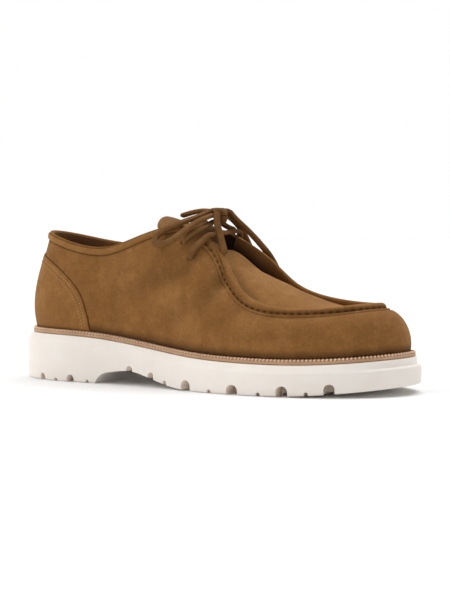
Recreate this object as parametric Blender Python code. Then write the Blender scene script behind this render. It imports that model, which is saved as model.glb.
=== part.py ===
"""Derby shoe for the right foot: a suede upper with a raised apron seam, on a thick lugged sole.

Run with: blender --background --python part.py
+X points to the toe, -Y is the outer (lateral) side and +Z is up. The floor is z = 0.
The tables are in millimetres in the last's own frame: x runs forward from the back of the
foot line, where the upper meets the welt, and y is measured from the heel's middle.
"""

import math

import bmesh
import bpy
import numpy as np

MM = 0.001
UP = np.array([0.0, 0.0, 1.0])

# Thicknesses and gaps
GAP = 0.3
WALL = 2.2
WELT = 3.2
INSOLE = 6.0
COUNTER = 1.1
COUNTER_GAP = 0.55
TONGUE_THICK = 2.6
LACE_DIAMETER = 3.4

# Widths measured outwards from the foot line
WELT_OUT = 5.5
WELT_IN = -3.0
SOLE_OUT = 9.5

# Raised edges of the upper; the lip's top reaches outside and inside the rim by shares of its
# width, and a plain edge's top lies between two shares of the wall
LIP_WIDTH = 2.6
LIP_OUTSIDE, LIP_INSIDE = 0.2, 0.6
EDGE_OUTER, EDGE_INNER = 0.7, 0.3
EDGE_HEIGHT = 0.9
BINDING_HEIGHT = 1.6
BINDING_PROUD = 1.0
BINDING_DEPTH = 4.5

# Mesh fineness
PER_SPAN = 3
WALL_ROWS = 8
APRON_COLUMNS = 8

# Shape of the curves: how far a wall's handles reach as a share of its height, how strongly the
# spacing of a closed curve's points counts, and how full the apron's crown is
BEZIER_REACH = 0.36
CURVE_SPACING = 0.7
CROWN_POWER = 2.3
# Heights up the wall just below the binding's lower edge and just above it
BINDING_ROWS = (0.915, 0.945)

# The last, one row for each section from the heel to the toe tip. The rim is the top edge of
# the wall: the collar behind the facing, and the apron seam in front of it. The leans are the
# wall's angles from upright, outwards at its foot and inwards at its rim. The ridge is the
# height of the apron's middle. The lip is how far the seam's raised edge stands over the rim,
# and the drop is how far the apron's edge lies below the top of the lip.
LAST_COLUMNS = (
    "name", "foot_x", "foot_lateral", "foot_medial",
    "rim_x", "rim_lateral", "rim_medial", "rim_z_lateral", "rim_z_medial",
    "lean_low", "lean_high", "ridge_z", "lip", "drop",
)
LAST_TABLE = (
    ("heel_back", 0, 0, 0, 10.5, 0, 0, 103, 103, 16, 13, 0, 0, 0),
    ("heel_round", 9, -20, 20, 17, -16, 16, 102, 100.5, 14, 12, 0, 0, 0),
    ("heel_side", 34, -31.5, 31.5, 36, -26, 26, 97, 96, 9, 9, 0, 0, 0),
    ("collar_low", 72, -33, 31, 72, -29, 28, 92, 94.5, 8, 12, 0, 0, 0),
    ("collar_rise", 104, -35, 27, 104, -28, 27, 101, 101, 6, 25, 0, 0, 0),
    ("facing_top", 132, -39.5, 28, 137.5, -20, 19, 105.5, 103.5, 5, 48, 0, 1.6, 6),
    ("facing_foot", 160, -45.5, 36, 152, -19, 18, 95, 98, 6, 52, 91.5, 1.8, 6.5),
    ("seam_rise", 178, -48, 42, 168, -27, 25, 72.5, 82.5, 9, 48, 82, 5, 8.3),
    ("ball", 196, -48.5, 45, 188, -35, 31, 54.5, 62, 10, 50, 72.5, 7, 8.3),
    ("toe_side", 226, -45, 44, 219, -35, 33, 48.5, 52.5, 11, 61, 59.5, 7, 6.3),
    ("toe_corner", 258, -31, 37, 248, -24, 28, 50.5, 51, 12, 71, 54, 6.4, 5.4),
    ("toe_round", 274, -15, 25, 262, -10.5, 18, 52.5, 52, 13, 77, 54, 6, 5.2),
    ("toe_tip", 281, 4, 4, 268, 4, 4, 53, 53, 13, 78, 54.3, 5.8, 5),
)
LAST = [dict(zip(LAST_COLUMNS, row)) for row in LAST_TABLE]
SPANS = 2 * (len(LAST) - 1)
FACING_TOP_ROW = [row["name"] for row in LAST].index("facing_top")
FACING_FOOT_ROW = [row["name"] for row in LAST].index("facing_foot")
TOE_ROW = len(LAST) - 1

# Heights along the length, each row an x and a z
SOLE_TOP = ((-12, 32.5), (30, 32.3), (70, 30.7), (110, 26.3), (150, 22),
            (190, 20.3), (230, 20.2), (262, 21.8), (292, 24.5))
# Toe spring: where the tread leaves the floor, and its rise at the tip
SPRING_START, SPRING_END, SPRING_RISE, SPRING_POWER = 205, 292, 6.5, 1.8
# Underside of the waist, from the heel's breast forward to the tread
ARCH = ((70, 0), (73, 4), (77, 7), (83, 8.4), (92, 9.6), (100, 10), (108, 9), (116, 7),
        (126, 4.4), (136, 2.2), (146, 0.8), (158, 0))

# Side of the sole from the tread up: how far out of the foot line it stands, and its height
# measured from the sole's bottom or top
SOLE_SIDE = (
    ("tread_edge", 8.3, "bottom", 0.0),
    ("tread_round", 9.3, "bottom", 1.3),
    ("flank", SOLE_OUT, "top", -8.0),
    ("step_foot", 8.9, "top", -5.8),
    ("step_top", 6.7, "top", -4.6),
    ("top_edge", 6.3, "top", 0.0),
)

# Notches between the lugs, on both sides of the sole: x, width and height
NOTCHES = (
    ("heel_back", 26, 5.0, 4.6),
    ("heel_front", 50, 5.8, 4.8),
    ("waist", 101.5, 5.0, 3.2),
    ("tread_1", 121, 4.5, 4.0),
    ("tread_2", 153, 7.5, 6.5),
    ("tread_3", 189, 8.0, 6.3),
    ("tread_4", 222, 7.5, 6.5),
    ("tread_5", 248.5, 7.0, 6.5),
)
NICKS = (
    ("heel_nick_1", 37.7, 2.4, 2.2),
    ("heel_nick_2", 64, 2.4, 2.2),
    ("tread_nick_1", 134, 2.6, 2.4),
    ("tread_nick_2", 172, 2.6, 2.4),
    ("tread_nick_3", 207, 2.6, 2.4),
    ("tread_nick_4", 236, 2.6, 2.4),
)
NOTCH_REACH, NOTCH_SIDES = 13.0, 6
NICK_REACH, NICK_SIDES = 8.0, 2
NOTCH_OVERRUN = 4.0

# Upper edge of the heel counter on each side: station in rows of the last, height up the wall
COUNTER_EDGE = (
    (0, 0.80), (1, 0.78), (1.7, 0.73), (2, 0.68), (2.25, 0.6), (2.45, 0.5), (2.58, 0.39),
    (2.66, 0.27), (2.72, 0.14), (2.75, 0.02),
)
COUNTER_CORNER = 2.1
COUNTER_ROWS = 7
COUNTER_FOOT = 0.012

# The tongue, from under the apron to its free end
TONGUE_COLUMNS = ("x", "top_z", "half_width", "edge_drop")
TONGUE_TABLE = (
    (164, 80.5, 12, 5),
    (160, 83, 14, 7),
    (154, 86.8, 16, 7.5),
    (148.5, 89.5, 18, 7.5),
    (142, 96.5, 19.5, 8),
    (136, 102, 20.5, 8),
    (130, 106, 21.5, 8),
    (118, 110.8, 22, 7.5),
    (109, 113.8, 20, 7),
    (104, 115, 14.5, 4.5),
    (102, 115.2, 8, 2),
)
TONGUE_COLUMNS_ACROSS = 8

# Eyelets: station in rows of the last, height up the wall, and the station at which the lace
# runs over the facing's edge
EYELETS = (("upper", 4.96, 0.855, 5.3), ("lower", 5.43, 0.745, 5.68))
EYELET_RADIUS = 1.9
EYELET_SIDES = 12

# The lace: the knot over the throat, and hand-chosen routes of what leaves it
KNOT_CENTRE = (145.5, -1, 117.4)
KNOT_SIZE = (11.5, 12.5, 7)
LACE_ROUTES = {
    "lace_loop_lateral": (
        (140, -6.3, 117.6), (138, -12.8, 115.4), (134.8, -19.8, 113), (130.5, -25.2, 110.6),
        (126, -28.3, 108.4), (121.8, -30.9, 105.9), (118.5, -33.7, 103), (117.4, -37, 99.8),
        (119.4, -40, 97.2), (124.3, -41.6, 96), (129.8, -40.2, 97.8), (134.4, -36.2, 101.6),
        (138.3, -30.3, 106.7), (141.5, -22.5, 111.2), (144, -14.3, 114.2), (145.2, -7.7, 115.9),
    ),
    "lace_loop_medial": (
        (150.6, 4.8, 118.6), (152.1, 8.5, 114.8), (155.7, 14, 109), (160, 20.2, 102.2), (164.2, 26.5, 94.6),
        (167.7, 33, 86.4), (170, 38.2, 77.7), (170.8, 42.3, 69.8), (169, 45.2, 63.3), (163.5, 46.8, 59.2),
        (157, 46.2, 61.3), (153.3, 43.5, 68), (151.6, 40.5, 77.5), (150.6, 37.2, 88), (149.2, 32.5, 97.5),
        (147.6, 25.8, 106.3), (146.6, 16, 112.9), (145.8, 5.9, 116.7),
    ),
    "lace_end_front": (
        (149, -8, 118), (150.1, -10.8, 113.8), (152.1, -13.3, 108.8), (155.1, -15.6, 103.7),
        (157.4, -17, 98.6), (159.5, -18.1, 93.8), (161.3, -18.8, 90.1),
    ),
    "lace_end_back": ((139.5, 1, 118.5), (133, 3, 119), (126, 5, 118.6), (118, 7, 117.3), (110, 9, 115.5)),
}
# How far a lace bar lifts over the wall at its eyelet, at the facing's edge and over the throat
BAR_LIFTS = (0.4, 1.0, 0.3)
LACE_STEP = 1.5

COLOURS = {
    "suede": ((0.235, 0.115, 0.035), 0.95),
    "suede_dark": ((0.17, 0.078, 0.025), 0.95),
    "foam_rubber": ((0.80, 0.74, 0.68), 0.6),
    "welt_leather": ((0.50, 0.31, 0.16), 0.7),
    "insole_leather": ((0.42, 0.27, 0.15), 0.7),
    "lace_leather": ((0.15, 0.075, 0.026), 0.8),
}


def second_slopes(steps, points, closed):
    """Second derivatives at the points of a cubic spline, by solving its tridiagonal system."""
    count = len(points)
    matrix = np.eye(count)
    right = np.zeros_like(points)
    for i in range(count) if closed else range(1, count - 1):
        after = (i + 1) % count
        matrix[i] = 0
        matrix[i, i - 1] = steps[i - 1]
        matrix[i, i] = 2 * (steps[i - 1] + steps[i])
        matrix[i, after] = steps[i]
        slope_after = (points[after] - points[i]) / steps[i]
        slope_before = (points[i] - points[i - 1]) / steps[i - 1]
        right[i] = 6 * (slope_after - slope_before)
    return np.linalg.solve(matrix, right)


def spline_at(steps, points, slopes, span, share):
    """Points of a cubic spline, each at a share of its span."""
    after = (span + 1) % len(points)
    h = steps[span]
    t = share * h
    u = h - t
    shape = (-1,) + (1,) * (points.ndim - 1)
    h, t, u = h.reshape(shape), t.reshape(shape), u.reshape(shape)
    bend = (slopes[span] * u**3 + slopes[after] * t**3) / (6 * h)
    from_near = (points[span] / h - slopes[span] * h / 6) * u
    from_far = (points[after] / h - slopes[after] * h / 6) * t
    return bend + from_near + from_far


def closed_curve(points, stations):
    """A smooth closed curve through the points, read at stations counted in points."""
    points = np.asarray(points, float)
    steps = np.linalg.norm(np.roll(points, -1, 0) - points, axis=1) ** CURVE_SPACING
    slopes = second_slopes(steps, points, True)
    stations = np.asarray(stations, float) % len(points)
    span = np.floor(stations).astype(int) % len(points)
    return spline_at(steps, points, slopes, span, stations - np.floor(stations))


def height_at(table, x):
    """A height along the shoe, from a table of x and z."""
    xs, zs = np.array(table, float).T
    steps = np.diff(xs)
    slopes = second_slopes(steps, zs, False)
    x = np.clip(np.asarray(x, float), xs[0], xs[-1])
    span = np.clip(np.searchsorted(xs, x) - 1, 0, len(steps) - 1)
    return spline_at(steps, zs, slopes, span, (x - xs[span]) / steps[span])


def around(lateral, medial):
    """One column of the last as a closed list: heel to toe on the lateral side, and back."""
    return [row[lateral] for row in LAST] + [row[medial] for row in LAST[-2:0:-1]]


def smooth(low, high, value):
    """0 below low, 1 above high, and an S-curve between."""
    share = np.clip((np.asarray(value, float) - low) / (high - low), 0, 1)
    return share * share * (3 - 2 * share)


def unit(vectors):
    return vectors / np.linalg.norm(vectors, axis=-1, keepdims=True)


def foot_line(stations):
    """Plan of the line where the upper meets the welt."""
    plan = np.column_stack([around("foot_x", "foot_x"), around("foot_lateral", "foot_medial")])
    return closed_curve(plan, stations)


def outward(stations):
    """Level direction out of the foot line."""
    nearby = 0.02
    along = unit(foot_line(stations + nearby) - foot_line(stations - nearby))
    return np.column_stack([along[:, 1], -along[:, 0], np.zeros(len(along))])


def all_stations():
    return np.arange(SPANS * PER_SPAN) / PER_SPAN


def outline(offset, stations):
    """Plan of a line a set distance outside the foot line."""
    return foot_line(stations) + offset * outward(stations)[:, :2]


def frame_centre():
    """Middle of the sole's box in plan, which becomes the origin."""
    plan = outline(SOLE_OUT, np.arange(0, SPANS, 0.05))
    return np.array([*(plan.min(0) + plan.max(0)) / 2, 0.0])


CENTRE = frame_centre()


def rim_line(stations):
    """The wall's top edge: apron seam, facing edges and collar."""
    plan = [around("rim_x", "rim_x"), around("rim_lateral", "rim_medial")]
    height = around("rim_z_lateral", "rim_z_medial")
    return closed_curve(np.column_stack([*plan, height]), stations)


def last_column(name, stations):
    """A number of the last that is the same on both sides, read at the stations."""
    plan = [around("foot_x", "foot_x"), around("foot_lateral", "foot_medial"), around(name, name)]
    return closed_curve(np.column_stack(plan), stations)[:, 2]


def foot_z(x):
    """Height at which the upper's lower edge stands on the welt."""
    return height_at(SOLE_TOP, x) + GAP + WELT + GAP


def inside_wall(stations, heights):
    """Inside of the upper's wall: an array of heights by stations by three."""
    plan = foot_line(stations)
    foot = np.column_stack([plan, foot_z(plan[:, 0])])
    rim = rim_line(stations)
    out = outward(stations)
    reach = BEZIER_REACH * np.linalg.norm(rim - foot, axis=1)[:, None]
    low = np.radians(last_column("lean_low", stations))[:, None]
    high = np.radians(last_column("lean_high", stations))[:, None]
    low_handle = foot + reach * (np.sin(low) * out + np.cos(low) * UP)
    high_handle = rim + reach * (np.sin(high) * out - np.cos(high) * UP)
    t = np.asarray(heights, float)[:, None, None]
    u = 1 - t
    return u**3 * foot + 3 * u * u * t * low_handle + 3 * u * t * t * high_handle + t**3 * rim


def wall_normals(stations, heights):
    """Directions out of the wall."""
    nearby = 0.01
    heights = np.asarray(heights, float)
    forward = inside_wall(stations + nearby, heights) - inside_wall(stations - nearby, heights)
    low = inside_wall(stations, np.clip(heights - nearby, 0, 1))
    rise = inside_wall(stations, np.clip(heights + nearby, 0, 1)) - low
    return unit(np.cross(forward, rise))


def wall(stations, heights, lift):
    """The wall moved outwards by lift, a number or an array of heights by stations."""
    lift = np.asarray(lift, float)
    moved = inside_wall(stations, heights) + wall_normals(stations, heights) * lift[..., None]
    floor = foot_z(foot_line(stations)[:, 0])
    moved[..., 2] = np.maximum(moved[..., 2], floor)
    return moved


def on_wall(station, height, lift):
    """One point over the upper's outer face."""
    return wall(np.array([station]), [height], np.array([[WALL + lift]]))[0, 0]


def seam_share(stations):
    """1 along the apron seam, 0 along the collar and facing, changing just behind the apron."""
    from_throat = np.abs(np.asarray(stations, float) - TOE_ROW) - (TOE_ROW - FACING_FOOT_ROW)
    return 1 - smooth(0.0, 0.3, from_throat)


def edge_frame(stations):
    """Directions at the wall's top edge: level and inwards, and square to that and the edge."""
    nearby = 0.02
    along = unit(rim_line(stations + nearby) - rim_line(stations - nearby))
    across = unit(np.cross(UP, along))
    return across, np.cross(along, across)


def binding_share(stations):
    """1 along the bound collar, 0 along the facing and the seam."""
    from_toe = np.abs(np.asarray(stations, float) % SPANS - TOE_ROW)
    return smooth(TOE_ROW - FACING_TOP_ROW, TOE_ROW - FACING_TOP_ROW + 0.6, from_toe)


def edge_rows(stations):
    """The rows over the wall's top edge: outer top, inner top and inner foot, of lip or collar."""
    rim = rim_line(stations)
    across, rise = edge_frame(stations)
    normal = wall_normals(stations, [1.0])[0]
    height = last_column("lip", stations)[:, None]
    drop = last_column("drop", stations)[:, None]
    lip = (
        rim + height * rise - LIP_OUTSIDE * LIP_WIDTH * across,
        rim + height * rise + LIP_INSIDE * LIP_WIDTH * across,
        rim + (height - drop) * rise + LIP_WIDTH * across,
    )
    bound = binding_share(stations)[:, None]
    top = EDGE_HEIGHT + (BINDING_HEIGHT - EDGE_HEIGHT) * bound
    collar = (
        rim + (EDGE_OUTER * WALL + BINDING_PROUD * bound) * normal + top * UP,
        rim + EDGE_INNER * WALL * normal + top * UP,
        rim + EDGE_HEIGHT / 2 * UP,
    )
    share = seam_share(stations)[:, None]
    return [share * a + (1 - share) * b for a, b in zip(lip, collar)]


def binding_lift(stations, heights):
    """How far the wall's outer face stands out: the wall, and the binding along the collar."""
    length = np.linalg.norm(rim_line(stations) - inside_wall(stations, [0.0])[0], axis=1)
    below_rim = (1 - np.asarray(heights, float))[:, None] * length[None, :]
    bound = (below_rim < BINDING_DEPTH) * binding_share(stations)[None, :]
    return WALL + BINDING_PROUD * bound


def wall_heights():
    """Rows of the wall, with two of them at the binding's lower edge."""
    below, foot = BINDING_ROWS
    return np.append(np.linspace(0, below, WALL_ROWS - 1), [foot, 1.0])


def apron_rows(edge, stations):
    """Rows across the apron, from the throat to the last one before the toe tip."""
    count = SPANS * PER_SPAN
    across = np.linspace(0, 1, APRON_COLUMNS + 1)[:, None]
    ridge = last_column("ridge_z", stations)
    rows = []
    for k in range(FACING_FOOT_ROW * PER_SPAN, TOE_ROW * PER_SPAN):
        lateral, medial = edge[k], edge[count - k]
        chord = lateral + (medial - lateral) * across
        crown = ridge[k] - (lateral[2] + medial[2]) / 2
        rows.append(chord + crown * (1 - np.abs(2 * across - 1) ** CROWN_POWER) * UP)
    return rows


def new_collection(name):
    made = bpy.data.collections.new(name)
    bpy.context.scene.collection.children.link(made)
    return made


def material(name):
    colour, roughness = COLOURS[name]
    made = bpy.data.materials.get(name) or bpy.data.materials.new(name)
    made.use_nodes = True
    shader = made.node_tree.nodes["Principled BSDF"]
    shader.inputs["Base Color"].default_value = (*colour, 1.0)
    shader.inputs["Roughness"].default_value = roughness
    shader.inputs["Metallic"].default_value = 0.0
    return made


def mesh_object(name, points, faces, finish, collection):
    """A closed mesh from points of the last's frame in millimetres, with its faces turned out."""
    mesh = bpy.data.meshes.new(name)
    mesh.from_pydata([tuple(p) for p in (np.asarray(points) - CENTRE) * MM], [], faces)
    shell = bmesh.new()
    shell.from_mesh(mesh)
    bmesh.ops.recalc_face_normals(shell, faces=shell.faces)
    shell.to_mesh(mesh)
    shell.free()
    mesh.shade_smooth()
    mesh.set_sharp_from_angle(angle=math.radians(40))
    made = bpy.data.objects.new(name, mesh)
    collection.objects.link(made)
    if finish:
        made.data.materials.append(material(finish))
    return made


class Mesher:
    """Collects points and faces, row by row."""

    def __init__(self):
        self.points = []
        self.faces = []

    def row(self, points):
        first = len(self.points)
        self.points.extend(np.asarray(points).reshape(-1, 3))
        return list(range(first, len(self.points)))

    def bridge(self, lower, upper, closed):
        """Quads between two rows of the same length."""
        for i in range(len(lower) if closed else len(lower) - 1):
            j = (i + 1) % len(lower)
            self.faces.append((lower[i], lower[j], upper[j], upper[i]))

    def fan(self, row, tip):
        for a, b in zip(row, row[1:]):
            self.faces.append((a, b, tip))

    def cap(self, ring):
        """Closes a ring with strips from side to side, heel to toe."""
        count = len(ring)
        half = count // 2
        self.faces.append((ring[0], ring[1], ring[count - 1]))
        for k in range(1, half - 1):
            self.faces.append((ring[k], ring[k + 1], ring[count - k - 1], ring[count - k]))
        self.faces.append((ring[half - 1], ring[half], ring[half + 1]))


def ring_solid(name, rings, capped, finish, collection):
    """A solid from closed rings in order: a plate where capped, or a tube bent into a ring."""
    build = Mesher()
    rows = [build.row(ring) for ring in rings]
    for lower, upper in zip(rows, rows[1:]):
        build.bridge(lower, upper, True)
    if capped:
        build.cap(rows[0])
        build.cap(rows[-1])
    else:
        build.bridge(rows[-1], rows[0], True)
    return mesh_object(name, build.points, build.faces, finish, collection)


def cut(target, cutter):
    change = target.modifiers.new("cut_" + cutter.name, "BOOLEAN")
    change.operation = "DIFFERENCE"
    change.solver = "EXACT"
    change.object = cutter
    cutter.hide_render = True
    cutter.display_type = "WIRE"


def prism(build, outline_points, start, along, across, length):
    """Adds an extruded outline: its points are across and up, and it runs along from start."""
    near = [start + across * a + UP * b for a, b in outline_points]
    far = [p + along * length for p in near]
    first, last = build.row(near), build.row(far)
    build.bridge(first, last, True)
    build.faces.append(tuple(first[::-1]))
    build.faces.append(tuple(last))


def notch_outline(width, height, sides):
    """A notch's outline, flat below the floor and round on top."""
    radius = width / 2
    angles = np.linspace(0, math.pi, sides + 1)
    top = [(radius * math.cos(a), height - radius + radius * math.sin(a)) for a in angles]
    below = 3.0
    return [(-radius, -below), (radius, -below)] + top


def station_at(x, lateral):
    """Station on one side of the foot line where it passes an x."""
    stations = np.linspace(0 if lateral else SPANS, TOE_ROW, 400)
    return float(np.interp(x, foot_line(stations)[:, 0], stations))


def sole_bottom(x):
    """Height of the tread over the floor: flat to the ball, then the toe spring."""
    share = np.clip((np.asarray(x, float) - SPRING_START) / (SPRING_END - SPRING_START), 0, None)
    return SPRING_RISE * share**SPRING_POWER


def waist_rise(x):
    """How far the waist's underside stands over the floor."""
    xs, zs = np.array(ARCH, float).T
    return np.interp(x, xs, zs, 0, 0)


def make_outsole(parts, cutters):
    stations = all_stations()
    rings = []
    for _, out, base, level in SOLE_SIDE:
        plan = outline(out, stations)
        under = sole_bottom(plan[:, 0]) if base == "bottom" else height_at(SOLE_TOP, plan[:, 0])
        rings.append(np.column_stack([plan, under + level]))
    sole = ring_solid("outsole", rings, True, "foam_rubber", parts)
    cut(sole, make_waist_cutter(cutters))
    cut(sole, make_notch_cutter("lug_notches", NOTCHES, NOTCH_REACH, NOTCH_SIDES, cutters))
    cut(sole, make_notch_cutter("lug_nicks", NICKS, NICK_REACH, NICK_SIDES, cutters))
    return sole


def make_waist_cutter(cutters):
    """A prism across the shoe with the outline of the space under the waist."""
    build = Mesher()
    half_width, below, breast_lean = 80.0, 5.0, 3.0
    xs = np.array([row[0] for row in ARCH], float)
    rows = [(xs[0] - breast_lean, -below)] + list(ARCH) + [(xs[-1], -below)]
    start = np.array([0.0, -half_width, 0.0])
    prism(build, rows, start, np.array([0.0, 1.0, 0.0]), np.array([1.0, 0.0, 0.0]), 2 * half_width)
    return mesh_object("waist_space", build.points, build.faces, None, cutters)


def make_notch_cutter(name, table, reach, sides, cutters):
    build = Mesher()
    for _, x, width, height in table:
        for lateral in (True, False):
            station = np.array([station_at(x, lateral)])
            out = outward(station)[0]
            plan = outline(SOLE_OUT, station)[0]
            edge = np.append(plan, sole_bottom(plan[0]))
            shape = notch_outline(width, height + waist_rise(plan[0]), sides)
            start = edge + out * NOTCH_OVERRUN
            prism(build, shape, start, -out, np.cross(UP, out), reach + NOTCH_OVERRUN)
    return mesh_object(name, build.points, build.faces, None, cutters)


def make_welt(parts):
    stations = all_stations()
    profile = (
        (WELT_IN, 0.0), (WELT_OUT - 0.5, 0.0), (WELT_OUT, 0.6),
        (WELT_OUT, WELT - 0.8), (WELT_OUT - 0.8, WELT), (WELT_IN, WELT),
    )
    rings = []
    for out, level in profile:
        plan = outline(out, stations)
        rings.append(np.column_stack([plan, height_at(SOLE_TOP, plan[:, 0]) + GAP + level]))
    return ring_solid("welt", rings, False, "welt_leather", parts)


def make_insole(parts):
    stations = all_stations()
    inset = WELT_IN - GAP
    rings = []
    for out, level in ((inset, 0.0), (inset, INSOLE - 1.0), (inset - 1.0, INSOLE)):
        plan = outline(out, stations)
        rings.append(np.column_stack([plan, height_at(SOLE_TOP, plan[:, 0]) + GAP + level]))
    return ring_solid("insole", rings, True, "insole_leather", parts)


def make_upper(parts, cutters):
    """The wall from the foot line to the collar and the seam, its lip, and the apron."""
    stations = all_stations()
    count = len(stations)
    heights = wall_heights()
    throat = range(FACING_FOOT_ROW * PER_SPAN, count - FACING_FOOT_ROW * PER_SPAN + 1)
    tip = TOE_ROW * PER_SPAN
    build = Mesher()

    outer = [build.row(ring) for ring in wall(stations, heights, binding_lift(stations, heights))]
    edges = edge_rows(stations)
    outer += [build.row(ring) for ring in edges]
    inner = [build.row(ring) for ring in inside_wall(stations, heights)]
    for rows in (outer, inner):
        for lower, upper in zip(rows, rows[1:]):
            build.bridge(lower, upper, True)
    build.bridge(outer[0], inner[0], True)

    rows = apron_rows(edges[-1], stations)
    top, under = [], []
    for k, points in zip(range(throat[0], tip), rows):
        middle = build.row(points[1:-1])
        top.append([outer[-1][k], *middle, outer[-1][count - k]])
        under.append(build.row(points - WALL * apron_normal(rows, k - throat[0])))
    under_tip = build.row(edges[-1][tip] - WALL * UP)[0]
    for sheet, last in ((top, outer[-1][tip]), (under, under_tip)):
        for near, far in zip(sheet, sheet[1:]):
            build.bridge(near, far, False)
        build.fan(sheet[-1], last)
    build.bridge(top[0], under[0], False)

    under_edge = [row[0] for row in under] + [under_tip] + [row[-1] for row in under[::-1]]
    build.bridge([inner[-1][k] for k in throat], under_edge, False)
    collar = [k % count for k in range(throat[-1], count + throat[0] + 1)]
    build.bridge([outer[-1][k] for k in collar], [inner[-1][k] for k in collar], False)
    for k, corner in ((throat[0], under_edge[0]), (throat[-1], under_edge[-1])):
        build.faces.append((outer[-1][k], inner[-1][k], corner))
    upper = mesh_object("upper", build.points, build.faces, "suede", parts)
    cut(upper, make_eyelet_cutter(cutters))
    return upper


def apron_normal(rows, index):
    """Directions out of the apron along one of its rows."""
    along = rows[min(index + 1, len(rows) - 1)] - rows[max(index - 1, 0)]
    across = np.gradient(rows[index], axis=0)
    return unit(np.cross(along, across))


def eyelet_stations():
    """Name, station and height of each eyelet, on both sides."""
    for name, station, height, _ in EYELETS:
        yield name + "_lateral", station, height
        yield name + "_medial", SPANS - station, height


def make_eyelet_cutter(cutters):
    build = Mesher()
    reach = 6.0
    angles = np.linspace(0, 2 * math.pi, EYELET_SIDES, endpoint=False)
    for _, station, height in eyelet_stations():
        low, high = on_wall(station, height, -reach), on_wall(station, height, reach)
        axis = unit(high - low)
        side = unit(np.cross(axis, UP))
        other = np.cross(axis, side)
        circle = [EYELET_RADIUS * (math.cos(a) * side + math.sin(a) * other) for a in angles]
        first, last = build.row([low + c for c in circle]), build.row([high + c for c in circle])
        build.bridge(first, last, True)
        build.faces.append(tuple(first[::-1]))
        build.faces.append(tuple(last))
    return mesh_object("eyelet_holes", build.points, build.faces, None, cutters)


def make_counter(parts):
    """The heel's overlay: a patch of the wall's own surface, round at its front corners."""
    places = np.array(COUNTER_EDGE)[:, 0]
    along = np.arange(0, COUNTER_CORNER, 1 / PER_SPAN)
    places = np.append(along, places[places >= COUNTER_CORNER])
    stations = np.append(SPANS - places[:0:-1], places)
    tops = np.interp(np.append(places[:0:-1], places), *np.array(COUNTER_EDGE).T)
    build = Mesher()
    sheets = []
    for lift in (WALL + COUNTER_GAP, WALL + COUNTER_GAP + COUNTER):
        columns = []
        for station, top in zip(stations, tops):
            heights = np.linspace(COUNTER_FOOT, top, COUNTER_ROWS)
            columns.append(wall(np.array([station]), heights, np.full((COUNTER_ROWS, 1), lift))[:, 0])
        sheets.append([build.row(column) for column in columns])
    for sheet in sheets:
        for near, far in zip(sheet, sheet[1:]):
            build.bridge(near, far, False)
    inner, outer = sheets
    for column in (0, -1):
        build.bridge(inner[column], outer[column], False)
    for end in (0, -1):
        build.bridge([column[end] for column in inner], [column[end] for column in outer], False)
    return mesh_object("heel_counter", build.points, build.faces, "suede", parts)


def make_tongue(parts):
    """A curved strip from under the apron to its round free end."""
    build = Mesher()
    across = np.linspace(-1, 1, TONGUE_COLUMNS_ACROSS + 1)
    sections = [dict(zip(TONGUE_COLUMNS, row)) for row in TONGUE_TABLE]
    rows = []
    for section in sections:
        y = section["half_width"] * across
        z = section["top_z"] - section["edge_drop"] * across**2
        rows.append(np.column_stack([np.full_like(y, section["x"]), y, z]))
    rows = np.array(rows)
    normal = unit(np.cross(np.gradient(rows, axis=1), np.gradient(rows, axis=0)))
    normal *= np.sign(normal[..., 2:])
    sheets = [[build.row(row) for row in sheet] for sheet in (rows, rows - TONGUE_THICK * normal)]
    for sheet in sheets:
        for near, far in zip(sheet, sheet[1:]):
            build.bridge(near, far, False)
    top, under = sheets
    for end in (0, -1):
        build.bridge(top[end], under[end], False)
        build.bridge([row[end] for row in top], [row[end] for row in under], False)
    return mesh_object("tongue", build.points, build.faces, "suede_dark", parts)


def even_route(points, step):
    """A smooth open curve through the points, read about every step."""
    points = np.asarray(points, float)
    steps = np.linalg.norm(np.diff(points, axis=0), axis=1)
    slopes = second_slopes(steps, points, False)
    ends = np.append(0, np.cumsum(steps))
    places = np.linspace(0, ends[-1], max(4, int(round(ends[-1] / step)) + 1))
    span = np.clip(np.searchsorted(ends, places) - 1, 0, len(steps) - 1)
    return spline_at(steps, points, slopes, span, (places - ends[span]) / steps[span])


def make_cord(name, points, parts):
    """A lace along a route, as a curve with a round bevel."""
    curve = bpy.data.curves.new(name, "CURVE")
    curve.dimensions = "3D"
    curve.bevel_depth = LACE_DIAMETER / 2 * MM
    curve.bevel_resolution = 2
    curve.use_fill_caps = True
    route = even_route(points, LACE_STEP * LACE_DIAMETER)
    spline = curve.splines.new("POLY")
    spline.points.add(len(route) - 1)
    for target, point in zip(spline.points, (route - CENTRE) * MM):
        target.co = (*point, 1.0)
    made = bpy.data.objects.new(name, curve)
    parts.objects.link(made)
    curve.materials.append(material("lace_leather"))
    return made


def lace_bar_route(name):
    """From the lateral eyelet of a pair over both facing edges to the medial one."""
    start, height, crossing = next(row[1:] for row in EYELETS if row[0] == name)
    at_eyelet, at_edge, over_throat = BAR_LIFTS
    clear = LACE_DIAMETER / 2 + GAP
    lateral = []
    for share in np.linspace(0, 1, 4):
        station = start + (crossing - start) * share
        lift = clear + at_eyelet + (at_edge - at_eyelet) * share**2
        lateral.append((station, height + (1 - height) * share, lift))
    medial = [(SPANS - station, h, lift) for station, h, lift in lateral[::-1]]
    pair = np.array([crossing, SPANS - crossing])
    over_edge = EDGE_OUTER * WALL + EDGE_HEIGHT + clear + over_throat
    crests = rim_line(pair) + over_edge * edge_frame(pair)[1]
    middle = crests.mean(0)
    if name == "upper":
        middle[2] = KNOT_CENTRE[2] - KNOT_SIZE[2] / 2 - clear
    sides = [[on_wall(*place) for place in side] for side in (lateral, medial)]
    return [*sides[0], crests[0], middle, crests[1], *sides[1]]


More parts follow.
